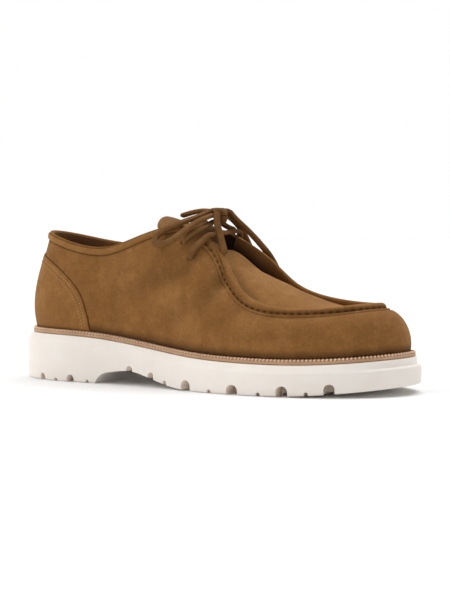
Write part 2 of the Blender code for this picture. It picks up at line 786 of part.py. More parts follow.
def make_laces(parts):
    for name, _, _, _ in EYELETS:
        make_cord("lace_bar_" + name, lace_bar_route(name), parts)
    for name, points in LACE_ROUTES.items():
        make_cord(name, points, parts)
    ball = bmesh.new()
    bmesh.ops.create_uvsphere(ball, u_segments=16, v_segments=10, radius=0.5)
    mesh = bpy.data.meshes.new("lace_knot")
    bmesh.ops.scale(ball, vec=[s * MM for s in KNOT_SIZE], verts=ball.verts)
    bmesh.ops.translate(ball, vec=(np.array(KNOT_CENTRE) - CENTRE) * MM, verts=ball.verts)
    ball.to_mesh(mesh)
    ball.free()
    mesh.shade_smooth()
    knot = bpy.data.objects.new("lace_knot", mesh)
    parts.objects.link(knot)
    mesh.materials.append(material("lace_leather"))


def main():
    for old in list(bpy.data.objects):
        bpy.data.objects.remove(old)
    parts = new_collection("derby_shoe")
    cutters = new_collection("cutters")
    make_outsole(parts, cutters)
    make_welt(parts)
    make_insole(parts)
    make_upper(parts, cutters)
    make_counter(parts)
    make_tongue(parts)
    make_laces(parts)


main()
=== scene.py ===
"""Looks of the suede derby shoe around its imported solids.

Tables and functions of the last are in millimetres in the last's own frame, as in the part's
source: x forward from the back of the foot line, y > 0 on the inner side, z up from the floor.
Every mesh is moved to the row frame, in metres, where it is made.
"""

import math

import bmesh
import bpy
import numpy as np
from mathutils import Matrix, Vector


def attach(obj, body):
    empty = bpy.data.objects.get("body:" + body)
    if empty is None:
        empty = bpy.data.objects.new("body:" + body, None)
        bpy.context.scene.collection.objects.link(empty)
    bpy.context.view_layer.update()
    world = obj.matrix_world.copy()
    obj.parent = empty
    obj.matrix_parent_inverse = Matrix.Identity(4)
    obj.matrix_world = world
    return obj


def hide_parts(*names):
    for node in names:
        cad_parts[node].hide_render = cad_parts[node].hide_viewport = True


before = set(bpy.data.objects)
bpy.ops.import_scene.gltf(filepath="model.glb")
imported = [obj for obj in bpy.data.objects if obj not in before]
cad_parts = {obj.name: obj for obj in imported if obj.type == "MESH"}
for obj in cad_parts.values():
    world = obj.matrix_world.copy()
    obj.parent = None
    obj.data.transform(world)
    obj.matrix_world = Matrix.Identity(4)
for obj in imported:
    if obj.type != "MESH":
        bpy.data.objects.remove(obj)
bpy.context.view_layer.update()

MM = 0.001
UP = np.array([0.0, 0.0, 1.0])

# Thicknesses and gaps of the solids
GAP = 0.3
WALL = 2.2
WELT = 3.2
INSOLE = 6.0
TONGUE_THICK = 2.6
LACE_DIAMETER = 3.4
WELT_OUT = 5.5
WELT_IN = -3.0
SOLE_OUT = 9.5
LIP_WIDTH = 2.6
EDGE_OUTER, EDGE_INNER = 0.7, 0.3
EDGE_HEIGHT = 0.9
BINDING_HEIGHT = 1.6
BINDING_PROUD = 1.0
BEZIER_REACH = 0.36
CURVE_SPACING = 0.7
CROWN_POWER = 2.6

# The last, one row for each section from the heel to the toe tip
LAST_COLUMNS = (
    "name", "foot_x", "foot_lateral", "foot_medial",
    "rim_x", "rim_lateral", "rim_medial", "rim_z_lateral", "rim_z_medial",
    "lean_low", "lean_high", "ridge_z", "lip", "drop",
)
LAST_TABLE = (
    ("heel_back", 0, 0, 0, 10.5, 0, 0, 103, 103, 16, 13, 0, 0, 0),
    ("heel_round", 9, -20, 20, 17, -16, 16, 102, 100.5, 14, 12, 0, 0, 0),
    ("heel_side", 34, -31.5, 31.5, 36, -26, 26, 97, 96, 9, 9, 0, 0, 0),
    ("collar_low", 72, -33, 31, 72, -29, 28, 92, 94.5, 8, 12, 0, 0, 0),
    ("collar_rise", 104, -35, 27, 104, -28, 27, 101, 101, 6, 25, 0, 0, 0),
    ("facing_top", 132, -39.5, 28, 137.5, -20, 19, 105.5, 103.5, 5, 48, 0, 1.6, 6),
    ("facing_foot", 160, -45.5, 36, 152, -19, 18, 95, 98, 6, 52, 91.5, 1.8, 6.5),
    ("seam_rise", 178, -48, 42, 168, -27, 25, 72.5, 82.5, 9, 48, 82, 5, 8.3),
    ("ball", 196, -48.5, 45, 188, -35, 31, 54.5, 62, 10, 50, 72.5, 7, 8.3),
    ("toe_side", 226, -45, 44, 219, -35, 33, 48.5, 52.5, 11, 61, 59.5, 7, 6.3),
    ("toe_corner", 258, -31, 37, 248, -24, 28, 50.5, 51, 12, 71, 54, 6.4, 5.4),
    ("toe_round", 274, -15, 25, 262, -10.5, 18, 52.5, 52, 13, 77, 54, 6, 5.2),
    ("toe_tip", 281, 4, 4, 268, 4, 4, 53, 53, 13, 78, 54.3, 5.8, 5),
)
LAST = [dict(zip(LAST_COLUMNS, row)) for row in LAST_TABLE]
SPANS = 2 * (len(LAST) - 1)
FACING_TOP_ROW = [row["name"] for row in LAST].index("facing_top")
FACING_FOOT_ROW = [row["name"] for row in LAST].index("facing_foot")
TOE_ROW = len(LAST) - 1

SOLE_TOP = ((-12, 32.5), (30, 32.3), (70, 30.7), (110, 26.3), (150, 22),
            (190, 20.3), (230, 20.2), (262, 21.8), (292, 24.5))
SPRING_START, SPRING_END, SPRING_RISE, SPRING_POWER = 205, 292, 6.5, 1.8
ARCH = ((70, 0), (73, 4), (77, 7), (83, 8.4), (92, 9.6), (100, 10), (108, 9), (116, 7),
        (126, 4.4), (136, 2.2), (146, 0.8), (158, 0))
# Notches and nicks along the tread, from the heel: x, width and height
NOTCHES = (
    (26, 5.0, 4.6), (50, 5.8, 4.8), (101.5, 5.0, 3.2), (121, 4.5, 4.0),
    (153, 7.5, 6.5), (189, 8.0, 6.3), (222, 7.5, 6.5), (248.5, 7.0, 6.5),
)
NICKS = (
    (37.7, 2.4, 2.2), (64, 2.4, 2.2), (134, 2.6, 2.4), (172, 2.6, 2.4), (207, 2.6, 2.4), (236, 2.6, 2.4),
)
# The counter's upper edge on the lateral side: station, and share of the wall's height
COUNTER_EDGE = (
    (0, 0.80), (1, 0.78), (1.7, 0.73), (2, 0.68), (2.25, 0.6), (2.45, 0.5), (2.58, 0.39),
    (2.66, 0.27), (2.72, 0.14), (2.75, 0.02),
)
# The tongue from its foot up: x, height of its middle, half width, and drop to its edges
TONGUE_TABLE = (
    (164, 80.5, 12, 5),
    (160, 83, 14, 7),
    (154, 86.8, 16, 7.5),
    (148.5, 89.5, 18, 7.5),
    (142, 96.5, 19.5, 8),
    (136, 102, 20.5, 8),
    (130, 106, 21.5, 8),
    (118, 110.8, 22, 7.5),
    (109, 113.8, 20, 7),
    (104, 115, 14.5, 4.5),
    (102, 115.2, 8, 2),
)
# Pairs of eyelets: station and share of the wall's height on the lateral side, and the station where
# the lace between them crosses the facing's edge
EYELETS = (("upper", 4.96, 0.855, 5.3), ("lower", 5.43, 0.745, 5.68))
KNOT_CENTRE = (145.5, -1, 117.4)
KNOT_SIZE = (11.5, 12.5, 7)
LACE_ROUTES = {
    "lace_loop_lateral": (
        (140, -6.3, 117.6), (138, -12.8, 115.4), (134.8, -19.8, 113), (130.5, -25.2, 110.6),
        (126, -28.3, 108.4), (121.8, -30.9, 105.9), (118.5, -33.7, 103), (117.4, -37, 99.8),
        (119.4, -40, 97.2), (124.3, -41.6, 96), (129.8, -40.2, 97.8), (134.4, -36.2, 101.6),
        (138.3, -30.3, 106.7), (141.5, -22.5, 111.2), (144, -14.3, 114.2), (145.2, -7.7, 115.9),
    ),
    "lace_loop_medial": (
        (150.6, 4.8, 118.6), (152.1, 8.5, 114.8), (155.7, 14, 109), (160, 20.2, 102.2), (164.2, 26.5, 94.6),
        (167.7, 33, 86.4), (170, 38.2, 77.7), (170.8, 42.3, 69.8), (169, 45.2, 63.3), (163.5, 46.8, 59.2),
        (157, 46.2, 61.3), (153.3, 43.5, 68), (151.6, 40.5, 77.5), (150.6, 37.2, 88), (149.2, 32.5, 97.5),
        (147.6, 25.8, 106.3), (146.6, 16, 112.9), (145.8, 5.9, 116.7),
    ),
    "lace_end_front": (
        (149, -8, 118), (150.1, -10.8, 113.8), (152.1, -13.3, 108.8), (155.1, -15.6, 103.7),
        (157.4, -17, 98.6), (159.5, -18.1, 93.8), (161.3, -18.8, 90.1),
    ),
    "lace_end_back": ((139.5, 1, 118.5), (133, 3, 119), (126, 5, 118.6), (118, 7, 117.3), (110, 9, 115.5)),
}
# How much more than clear a crossing's lace runs of the wall at its eyelets, its edge and the throat
BAR_LIFTS = (0.4, 1.0, 0.3)

# The dressed lip: shares of its width at which its top's edges and its inner foot stand, how
# much deeper than the solid's its inside falls, and how much more so at the throat
LIP_OUTSIDE, LIP_INSIDE, LIP_FOOT = 0.5, 1.4, 1.0
LIP_DROP, THROAT_DROP = 1.1, 0.35
# How far the lip leans in round the toe, as shares of its width, at its outer and inner edges
LEAN_OUTSIDE, LEAN_INSIDE = 1.1, 0.7
# Rows of the last behind the toe tip between which the throat's drop comes in and the lean goes out
THROAT_ROWS, LEAN_ROWS = (3, 5), (0.4, 2.4)
# Rows of the last in which the seam gives way to the facing's edge, and that to the collar's binding
SEAM_CHANGE, BINDING_CHANGE = 0.3, 0.6

# Fineness of the dressed meshes
PER_SPAN = 16
WALL_ROWS = 20
FINE_DEPTH = 11.0
FINE_STEP = 0.35
APRON_COLUMNS = 44
TONGUE_STEP, TONGUE_POINTS, SOCK_POINTS = 1.5, 37, 25
# Fineness of lines that are only read: points a span of the rim, points of a side, and step round
# the outline
RIM_POINTS, SIDE_POINTS, OUTLINE_STEP = 200, 400, 0.05
# The upper's stations are closer together along the apron seam, for its stitches
SEAM_START, COLLAR_STEP, SEAM_STEP = 5.5, 1 / 16, 1 / 32


def second_slopes(steps, points, closed):
    """Second derivatives at the points of a cubic spline, by solving its tridiagonal system."""
    count = len(points)
    matrix = np.eye(count)
    right = np.zeros_like(points)
    for i in range(count) if closed else range(1, count - 1):
        after = (i + 1) % count
        matrix[i] = 0
        matrix[i, i - 1] = steps[i - 1]
        matrix[i, i] = 2 * (steps[i - 1] + steps[i])
        matrix[i, after] = steps[i]
        slope_after = (points[after] - points[i]) / steps[i]
        slope_before = (points[i] - points[i - 1]) / steps[i - 1]
        right[i] = 6 * (slope_after - slope_before)
    return np.linalg.solve(matrix, right)


def spline_at(steps, points, slopes, span, share):
    """Points of a cubic spline, each at a share of its span."""
    after = (span + 1) % len(points)
    h = steps[span]
    t = share * h
    u = h - t
    shape = (-1,) + (1,) * (points.ndim - 1)
    h, t, u = h.reshape(shape), t.reshape(shape), u.reshape(shape)
    bend = (slopes[span] * u**3 + slopes[after] * t**3) / (6 * h)
    from_near = (points[span] / h - slopes[span] * h / 6) * u
    from_far = (points[after] / h - slopes[after] * h / 6) * t
    return bend + from_near + from_far


def closed_curve(points, stations):
    """A smooth closed curve through the points, read at stations counted in points."""
    points = np.asarray(points, float)
    steps = np.linalg.norm(np.roll(points, -1, 0) - points, axis=1) ** CURVE_SPACING
    slopes = second_slopes(steps, points, True)
    stations = np.asarray(stations, float) % len(points)
    span = np.floor(stations).astype(int) % len(points)
    return spline_at(steps, points, slopes, span, stations - np.floor(stations))


def open_curve(points, step):
    """A smooth open curve through the points, read about every step."""
    points = np.asarray(points, float)
    steps = np.linalg.norm(np.diff(points, axis=0), axis=1)
    slopes = second_slopes(steps, points, False)
    ends = np.append(0, np.cumsum(steps))
    places = np.linspace(0, ends[-1], max(4, int(round(ends[-1] / step)) + 1))
    span = np.clip(np.searchsorted(ends, places) - 1, 0, len(steps) - 1)
    return spline_at(steps, points, slopes, span, (places - ends[span]) / steps[span])


def height_at(table, x):
    """A height along the shoe, from a table of x and z."""
    xs, zs = np.array(table, float).T
    steps = np.diff(xs)
    slopes = second_slopes(steps, zs, False)
    x = np.clip(np.asarray(x, float), xs[0], xs[-1])
    span = np.clip(np.searchsorted(xs, x) - 1, 0, len(steps) - 1)
    return spline_at(steps, zs, slopes, span, (x - xs[span]) / steps[span])


def around(lateral, medial):
    """One column of the last as a closed list: heel to toe on the lateral side, and back."""
    return [row[lateral] for row in LAST] + [row[medial] for row in LAST[-2:0:-1]]


def smooth(low, high, value):
    """0 below low, 1 above high, and an S-curve between."""
    share = np.clip((np.asarray(value, float) - low) / (high - low), 0, 1)
    return share * share * (3 - 2 * share)


def bell(value, width):
    return np.exp(-((value / width) ** 2))


def unit(vectors):
    return vectors / np.maximum(np.linalg.norm(vectors, axis=-1, keepdims=True), 1e-9)


def round_angles(count):
    return np.linspace(0, 2 * math.pi, count, endpoint=False)


def foot_line(stations):
    """Plan of the line where the upper meets the welt."""
    plan = np.column_stack([around("foot_x", "foot_x"), around("foot_lateral", "foot_medial")])
    return closed_curve(plan, stations)


def outward(stations):
    """Level direction out of the foot line."""
    nearby = 0.02
    along = unit(foot_line(stations + nearby) - foot_line(stations - nearby))
    return np.column_stack([along[:, 1], -along[:, 0], np.zeros(len(along))])


def outline(offset, stations):
    """Plan of a line a set distance outside the foot line."""
    return foot_line(stations) + offset * outward(stations)[:, :2]


def frame_centre():
    """Middle of the sole's box in plan, which is the row frame's origin."""
    plan = outline(SOLE_OUT, np.arange(0, SPANS, OUTLINE_STEP))
    return np.array([*(plan.min(0) + plan.max(0)) / 2, 0.0])


CENTRE = frame_centre()
STATIONS = np.arange(SPANS * PER_SPAN) / PER_SPAN


def rim_line(stations):
    """The wall's top edge: apron seam, facing edges and collar."""
    plan = [around("rim_x", "rim_x"), around("rim_lateral", "rim_medial")]
    height = around("rim_z_lateral", "rim_z_medial")
    return closed_curve(np.column_stack([*plan, height]), stations)


def last_column(name, stations):
    """A number of the last that is the same on both sides, read at the stations."""
    plan = [around("foot_x", "foot_x"), around("foot_lateral", "foot_medial"), around(name, name)]
    return closed_curve(np.column_stack(plan), stations)[:, 2]


def foot_z(x):
    """Height at which the upper's lower edge stands on the welt."""
    return height_at(SOLE_TOP, x) + GAP + WELT + GAP


def inside_wall(stations, heights):
    """Inside of the upper's wall at heights, one list for all stations or rows by stations."""
    plan = foot_line(stations)
    foot = np.column_stack([plan, foot_z(plan[:, 0])])
    rim = rim_line(stations)
    out = outward(stations)
    reach = BEZIER_REACH * np.linalg.norm(rim - foot, axis=1)[:, None]
    low = np.radians(last_column("lean_low", stations))[:, None]
    high = np.radians(last_column("lean_high", stations))[:, None]
    low_handle = foot + reach * (np.sin(low) * out + np.cos(low) * UP)
    high_handle = rim + reach * (np.sin(high) * out - np.cos(high) * UP)
    t = np.asarray(heights, float)
    t = t[:, None, None] if t.ndim == 1 else t[..., None]
    u = 1 - t
    return u**3 * foot + 3 * u * u * t * low_handle + 3 * u * t * t * high_handle + t**3 * rim


def wall_normals(stations, heights):
    """Directions out of the wall."""
    nearby = 0.01
    heights = np.asarray(heights, float)
    forward = inside_wall(stations + nearby, heights) - inside_wall(stations - nearby, heights)
    low = inside_wall(stations, np.clip(heights - nearby, 0, 1))
    rise = inside_wall(stations, np.clip(heights + nearby, 0, 1)) - low
    return unit(np.cross(forward, rise))


def wall(stations, heights, lift):
    """The wall moved outwards by lift, a number or an array of rows by stations."""
    lift = np.asarray(lift, float)
    moved = inside_wall(stations, heights) + wall_normals(stations, heights) * lift[..., None]
    floor = foot_z(foot_line(stations)[:, 0])
    moved[..., 2] = np.maximum(moved[..., 2], floor)
    return moved


def on_wall(station, height, lift):
    """One point over the upper's outer face."""
    return wall(np.array([station]), [height], np.array([[WALL + lift]]))[0, 0]


def from_toe(stations):
    """How many rows of the last a station is behind the toe tip, on either side."""
    return np.abs(np.asarray(stations, float) % SPANS - TOE_ROW)


def seam_share(stations):
    """1 along the apron seam, 0 along the collar and facing, changing just behind the apron."""
    return 1 - smooth(0.0, SEAM_CHANGE, from_toe(stations) - (TOE_ROW - FACING_FOOT_ROW))


def binding_share(stations):
    """1 along the bound collar, 0 along the facing and the seam."""
    return smooth(0.0, BINDING_CHANGE, from_toe(stations) - (TOE_ROW - FACING_TOP_ROW))


def edge_frame(stations):
    """Directions at the wall's top edge: level and inwards, and square to that and the edge."""
    nearby = 0.02
    along = unit(rim_line(stations + nearby) - rim_line(stations - nearby))
    across = unit(np.cross(UP, along))
    return across, np.cross(along, across)


def edge_rows(stations):
    """The rows over the wall's top edge: outer top, inner top and inner foot, of lip or collar."""
    rim = rim_line(stations)
    across, rise = edge_frame(stations)
    normal = wall_normals(stations, [1.0])[0]
    height = last_column("lip", stations)[:, None]
    drop = last_column("drop", stations)[:, None]
    deeper = LIP_DROP + THROAT_DROP * smooth(*THROAT_ROWS, from_toe(stations))[:, None]
    toe = 1 - smooth(*LEAN_ROWS, from_toe(stations))[:, None]
    lip = (
        rim + height * rise + (LEAN_OUTSIDE * toe - LIP_OUTSIDE) * LIP_WIDTH * across,
        rim + height * rise + (LEAN_INSIDE * toe + LIP_INSIDE) * LIP_WIDTH * across,
        rim + (height - deeper * drop) * rise + (LEAN_INSIDE * toe + LIP_FOOT) * LIP_WIDTH * across,
    )
    bound = binding_share(stations)[:, None]
    top = EDGE_HEIGHT + (BINDING_HEIGHT - EDGE_HEIGHT) * bound
    collar = (
        rim + (EDGE_OUTER * WALL + BINDING_PROUD * bound) * normal + top * UP,
        rim + EDGE_INNER * WALL * normal + top * UP,
        rim + EDGE_HEIGHT / 2 * UP,
    )
    share = seam_share(stations)[:, None]
    return [share * a + (1 - share) * b for a, b in zip(lip, collar)]


# Meshes


# Angles, in degrees, over which an edge of a piece is shaded sharp
BOARD_EDGE, SOLE_EDGE, LACE_EDGE = 50, 38, 60


class Mesher:
    """Collects points with their painted shading, and faces with their material slots, row by row.

    The painted shading is how far a point is painted lighter as a highlight, up to 1, or darker as shade,
    down to -1.
    """

    def __init__(self):
        self.points = []
        self.painted_shading_values = []
        self.faces = []
        self.slots = []

    def row(self, points, painted_shading=0.0):
        first = len(self.points)
        self.points.extend(np.asarray(points, float).reshape(-1, 3))
        self.painted_shading_values.extend(np.broadcast_to(painted_shading, len(self.points) - first))
        return list(range(first, len(self.points)))

    def face(self, corners, slot=0):
        self.faces.append(tuple(corners))
        self.slots.append(slot)

    def bridge(self, lower, upper, closed=False, slot=0):
        """Quads between two rows of the same length."""
        for i in range(len(lower) if closed else len(lower) - 1):
            j = (i + 1) % len(lower)
            self.face((lower[i], lower[j], upper[j], upper[i]), slot)

    def loft(self, rows, closed=False, slot=0):
        for lower, upper in zip(rows, rows[1:]):
            self.bridge(lower, upper, closed, slot)

    def fan(self, row, tip, slot=0):
        for a, b in zip(row, row[1:]):
            self.face((a, b, tip), slot)

    def cap(self, ring, slot=0):
        """Closes a ring with strips from side to side, heel to toe."""
        count = len(ring)
        half = count // 2
        self.face((ring[0], ring[1], ring[-1]), slot)
        for k in range(1, half - 1):
            self.face((ring[k], ring[k + 1], ring[count - k - 1], ring[count - k]), slot)
        self.face((ring[half - 1], ring[half], ring[half + 1]), slot)

    def tube(self, rings, slot=0):
        """A tube through closed rings, with flat ends."""
        self.loft(rings, True, slot)
        self.face(rings[0][::-1], slot)
        self.face(rings[-1], slot)

    def sheet(self, top, under, slot=0):
        """Two sheets of rows joined along their four edges, the lower one with its own slot."""
        self.loft(top)
        self.loft(under, slot=slot)
        for k in (0, -1):
            self.bridge(top[k], under[k])
            self.bridge([row[k] for row in top], [row[k] for row in under])


def add_object(name, data):
    made = bpy.data.objects.new(name, data)
    bpy.context.scene.collection.objects.link(made)
    return made


def mesh_object(name, build, finishes, sharp=None):
    """An object in the row frame from what a Mesher holds, shaded smooth."""
    mesh = bpy.data.meshes.new(name)
    mesh.from_pydata([tuple(p) for p in (np.asarray(build.points) - CENTRE) * MM], [], build.faces)
    for finish in finishes:
        mesh.materials.append(finish)
    mesh.polygons.foreach_set("material_index", np.array(build.slots, np.int32))
    shell = bmesh.new()
    shell.from_mesh(mesh)
    bmesh.ops.recalc_face_normals(shell, faces=shell.faces)
    shell.to_mesh(mesh)
    shell.free()
    painted_shading = mesh.attributes.new("painted_shading", "FLOAT", "POINT")
    painted_shading.data.foreach_set("value", np.array(build.painted_shading_values, np.float32))
    mesh.shade_smooth()
    if sharp:
        mesh.set_sharp_from_angle(angle=math.radians(sharp))
    return add_object(name, mesh)


def dress(piece, slot, *nodes):
    """Rides on the shoe's one body and stands for the named solids; slot is not used."""
    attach(piece, "root")
    if nodes:
        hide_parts(*nodes)
    return piece


def cut_out(target, cutters, solver, sharp=None):
    """Cuts the cutters out of a piece for good, and removes them."""
    for cutter in cutters:
        change = target.modifiers.new("cut", "BOOLEAN")
        change.operation = "DIFFERENCE"
        change.solver = solver
        change.object = cutter
    bpy.context.view_layer.update()
    found = target.evaluated_get(bpy.context.evaluated_depsgraph_get())
    mesh = bpy.data.meshes.new_from_object(found)
    target.modifiers.clear()
    target.data = mesh
    mesh.shade_smooth()
    if sharp:
        mesh.set_sharp_from_angle(angle=math.radians(sharp))
    for cutter in cutters:
        bpy.data.objects.remove(cutter)


# Materials


def fill(tree, made, inputs):
    """Sets a node's inputs to numbers or colours, or links them to other nodes' outputs."""
    for key, value in inputs.items():
        socket = made.inputs[key]
        if isinstance(value, tuple):
            socket.default_value = (*value, 1.0)
        elif isinstance(value, (int, float)):
            socket.default_value = value
        else:
            tree.links.new(value, socket)
    return made


def shader_of(name, colour, roughness):
    """A new material, its nodes, its shader, and the place on the shoe."""
    made = bpy.data.materials.new(name)
    made.use_nodes = True
    tree = made.node_tree
    shader = fill(tree, tree.nodes["Principled BSDF"], {"Base Color": colour, "Roughness": roughness})
    return made, tree, shader, tree.nodes.new("ShaderNodeTexCoord").outputs["Object"]


def noise(tree, place, scale, detail=3.0, rough=0.55):
    """A noise value from the place on the shoe; scale is in waves a metre."""
    made = tree.nodes.new("ShaderNodeTexNoise")
    inputs = {"Vector": place, "Scale": scale, "Detail": detail, "Roughness": rough}
    return fill(tree, made, inputs).outputs["Fac"]


def ramp(tree, value, stops):
    """A colour for a value, from stops of a place and a colour."""
    made = tree.nodes.new("ShaderNodeValToRGB")
    band = made.color_ramp
    while len(band.elements) < len(stops):
        band.elements.new(0.5)
    for element, (place, colour) in zip(band.elements, stops):
        element.position = place
        element.color = (*colour, 1.0)
    return fill(tree, made, {"Fac": value}).outputs["Color"]


def blend(tree, share, first, second, how="MIX"):
    """Two colours mixed; the mix node's colour sockets are known by number."""
    made = tree.nodes.new("ShaderNodeMix")
    made.data_type = "RGBA"
    made.blend_type = how
    return fill(tree, made, {0: share, 6: first, 7: second}).outputs[2]


def reckon(tree, how, first, second):
    made = tree.nodes.new("ShaderNodeMath")
    made.operation = how
    return fill(tree, made, {0: first, 1: second}).outputs[0]


def add_bump(tree, shader, height, distance, strength):
    made = tree.nodes.new("ShaderNodeBump")
    fill(tree, made, {"Height": height, "Distance": distance, "Strength": strength})
    fill(tree, shader, {"Normal": made.outputs["Normal"]})


# How much each channel is raised by a full painted highlight, where the mesh's painted shading is 1
HIGHLIGHT_LIFT = (1.28, 1.37, 1.55)


def with_painted_shading(tree, colour, dark):
    """Darkens a colour with painted shade or lightens it with a painted highlight, by the mesh's painted
    shading.
    """
    attribute = tree.nodes.new("ShaderNodeAttribute")
    attribute.attribute_name = "painted_shading"
    painted_shading = attribute.outputs["Fac"]
    darkened = blend(tree, reckon(tree, "MULTIPLY", painted_shading, -1.0), colour, dark)
    return blend(tree, painted_shading, darkened, blend(tree, 1.0, darkened, HIGHLIGHT_LIFT, "MULTIPLY"))


# Share of the suede's broad clouds in its colour against the finer marks of brushing, and how far
# its specks darken and lighten it
CLOUD_SHARE = 0.55
SPECK_DARK, SPECK_LIGHT = (0.82, 0.82, 0.82), (1.14, 1.14, 1.14)
# Colours of full painted shade, where the mesh's painted shading is -1
SUEDE_IN_SHADE, LINING_IN_SHADE = (0.014, 0.005, 0.0015), (0.014, 0.005, 0.002)


def suede(name, dark, middle, light):
    """Napped suede: cloudy colour where the nap was brushed, and short fibres in the bump."""
    made, tree, shader, place = shader_of(name, middle, 0.92)
    clouds = reckon(tree, "MULTIPLY", noise(tree, place, 34, 3.0, 0.55), CLOUD_SHARE)
    brushed = reckon(tree, "MULTIPLY", noise(tree, place, 150, 4.0, 0.65), 1 - CLOUD_SHARE)
    fibres = noise(tree, place, 2400, 2.0, 0.7)
    grain = noise(tree, place, 800, 3.0, 0.65)
    mixed = reckon(tree, "ADD", clouds, brushed)
    colour = with_painted_shading(tree, ramp(tree, mixed, ((0.32, dark), (0.5, middle), (0.68, light))), SUEDE_IN_SHADE)
    speck = ramp(tree, grain, ((0.3, SPECK_DARK), (0.7, SPECK_LIGHT)))
    height = reckon(tree, "ADD", reckon(tree, "MULTIPLY", fibres, 0.5), grain)
    add_bump(tree, shader, height, distance=0.0004, strength=0.55)
    fill(tree, shader, {
        "Base Color": blend(tree, 1.0, colour, speck, "MULTIPLY"), "Specular IOR Level": 0.15,
        "Sheen Weight": 0.14, "Sheen Roughness": 0.5, "Sheen Tint": (0.85, 0.58, 0.32),
    })
    return made


def leather(name, dark, light, roughness, scale=420, depth=0.0003, gloss=0.3, deep=None):
    """Smooth leather with fine grain and uneven colour; with a deep colour, the mesh's painted shade
    darkens it.
    """
    made, tree, shader, place = shader_of(name, light, roughness)
    grain = fill(tree, tree.nodes.new("ShaderNodeTexVoronoi"), {"Vector": place, "Scale": scale})
    fine = noise(tree, place, scale * 2.5, 3.0)
    colour = ramp(tree, noise(tree, place, 60, 4.0, 0.6), ((0.35, dark), (0.65, light)))
    if deep:
        colour = with_painted_shading(tree, colour, deep)
    height = reckon(tree, "ADD", grain.outputs["Distance"], reckon(tree, "MULTIPLY", fine, 0.5))
    add_bump(tree, shader, height, distance=depth, strength=0.5)
    fill(tree, shader, {"Base Color": colour, "Specular IOR Level": gloss})
    return made


def foam(name, dark, light):
    """Matt foam rubber, faintly uneven, with a fine moulded skin."""
    made, tree, shader, place = shader_of(name, light, 0.62)
    colour = ramp(tree, noise(tree, place, 45, 4.0, 0.6), ((0.3, dark), (0.7, light)))
    skin = noise(tree, place, 1500, 3.0, 0.6)
    add_bump(tree, shader, skin, distance=0.0002, strength=0.3)
    fill(tree, shader, {"Base Color": colour, "Specular IOR Level": 0.35})
    return made


SUEDE = suede("suede_brown", (0.190, 0.079, 0.019), (0.234, 0.102, 0.0265), (0.30, 0.140, 0.042))
SUEDE_DARK = suede("suede_tongue", (0.150, 0.066, 0.022), (0.195, 0.089, 0.030), (0.25, 0.120, 0.044))
LINING = leather("lining_leather", (0.15, 0.062, 0.02), (0.20, 0.085, 0.028), 0.6, deep=LINING_IN_SHADE)
SOCK = leather("sock_leather", (0.38, 0.195, 0.085), (0.47, 0.26, 0.12), 0.55)
WELT_SKIN = leather("welt_tan", (0.43, 0.25, 0.135), (0.51, 0.31, 0.18), 0.55)
# Darker welt top under the upper's edge and behind the beads: painted shade
WELT_SEAT_SHADE = leather("welt_seat_shade", (0.25, 0.13, 0.062), (0.31, 0.17, 0.085), 0.6)
BEAD = leather("welt_bead", (0.70, 0.45, 0.285), (0.82, 0.56, 0.375), 0.6)
FOAM = foam("foam_cream", (0.85, 0.785, 0.715), (0.89, 0.83, 0.765))
# A shaded copy of the foam: painted shade, darker and warmer, inside the notches
FOAM_NOTCH_SHADE = foam("foam_notch_shade", (0.83, 0.71, 0.61), (0.88, 0.77, 0.67))
LACE = leather("lace_brown", (0.125, 0.056, 0.017), (0.210, 0.099, 0.033), 0.8, 700, 0.0003, 0.1)
THREAD_DARK = leather("thread_dark", (0.055, 0.021, 0.006), (0.085, 0.034, 0.011), 0.85, 900, gloss=0.1)
THREAD_LIGHT = leather("thread_light", (0.36, 0.20, 0.085), (0.46, 0.27, 0.12), 0.7, 900)


# The upper


# The apron seam's stitches: their height over the rim, by rows of the last behind the toe tip, and
# their pitch, length and radius
STITCH_LINE = ((0, 0.5), (1, 0.6), (2, 1.0), (3, 1.6), (4, 0.0), (5, -3.0), (6, -5.0), (6.5, -5.6))
STITCH_PITCH = 5.0
STITCH_SIZES = (STITCH_PITCH, 3.3, 0.75)
# The fold below the stitches: how far below, how much more so on the rise to the throat, and
# between which rows of the last that comes in
FOLD_BELOW, FOLD_MORE, FOLD_ROWS = 3.0, 0.8, (4, 5)
# Lines of the seam: height over the stitches and half width as shares of the fold's distance,
# depth, painted shading (painted shadows along the fold, groove and face, a painted highlight on the
# ridge), and the share of both that comes and goes with the stitches
SEAM_COLUMNS = ("place", "half_width", "depth", "painted_shading", "puckered")
SEAM_LINES = [dict(zip(SEAM_COLUMNS, row)) for row in (
    (-1.0, 0.18, -0.5, -0.5, 0.0),
    (-0.5, 0.30, 0.45, 0.15, 0.25),
    (0.0, 0.25, -0.8, -0.7, 0.45),
    (0.5, 0.40, 0.15, -0.35, 0.3),
)]
# How much weaker the lines' depth and painted shading are on the rise to the throat, and from where to
# where
SEAM_EASE = {"depth": 0.2, "painted_shading": 0.5}
EASE_ROWS = (3, 4.8)
# Rows behind the toe tip at which the lines begin to fade, the stitches stop and the lines end
SEAM_FADE, STITCH_END, SEAM_TOP = 6.3, 6.33, 6.45
# The lip's round corners: their reach, its limit as a share of the sides, and their rows; and the
# rows of the lip's face and of its inside
LIP_ROUND, CORNER_SHARE, CORNER_ROWS, FACE_ROWS, INSIDE_ROWS = 2.4, 0.48, 7, 14, 8
# Painted shading: of a crease for each millimetre of depth, shade in its trough and a highlight on its
# ridges; the painted highlight on the collar's roll, the painted shadow on the line under it, the
# painted shade at the foot of the wall by the welt with the ways up between which it fades, and the
# painted highlight on the lip's top with those where it comes in
CREASE_SHADING, ROLL_HIGHLIGHT, COLLAR_LINE_SHADOW, FOOT_SHADE, FOOT_FADE = 0.22, 0.5, 0.6, 0.6, (0.5, 7.0)
LIP_HIGHLIGHT, LIP_RISE = 0.3, (2, 5)
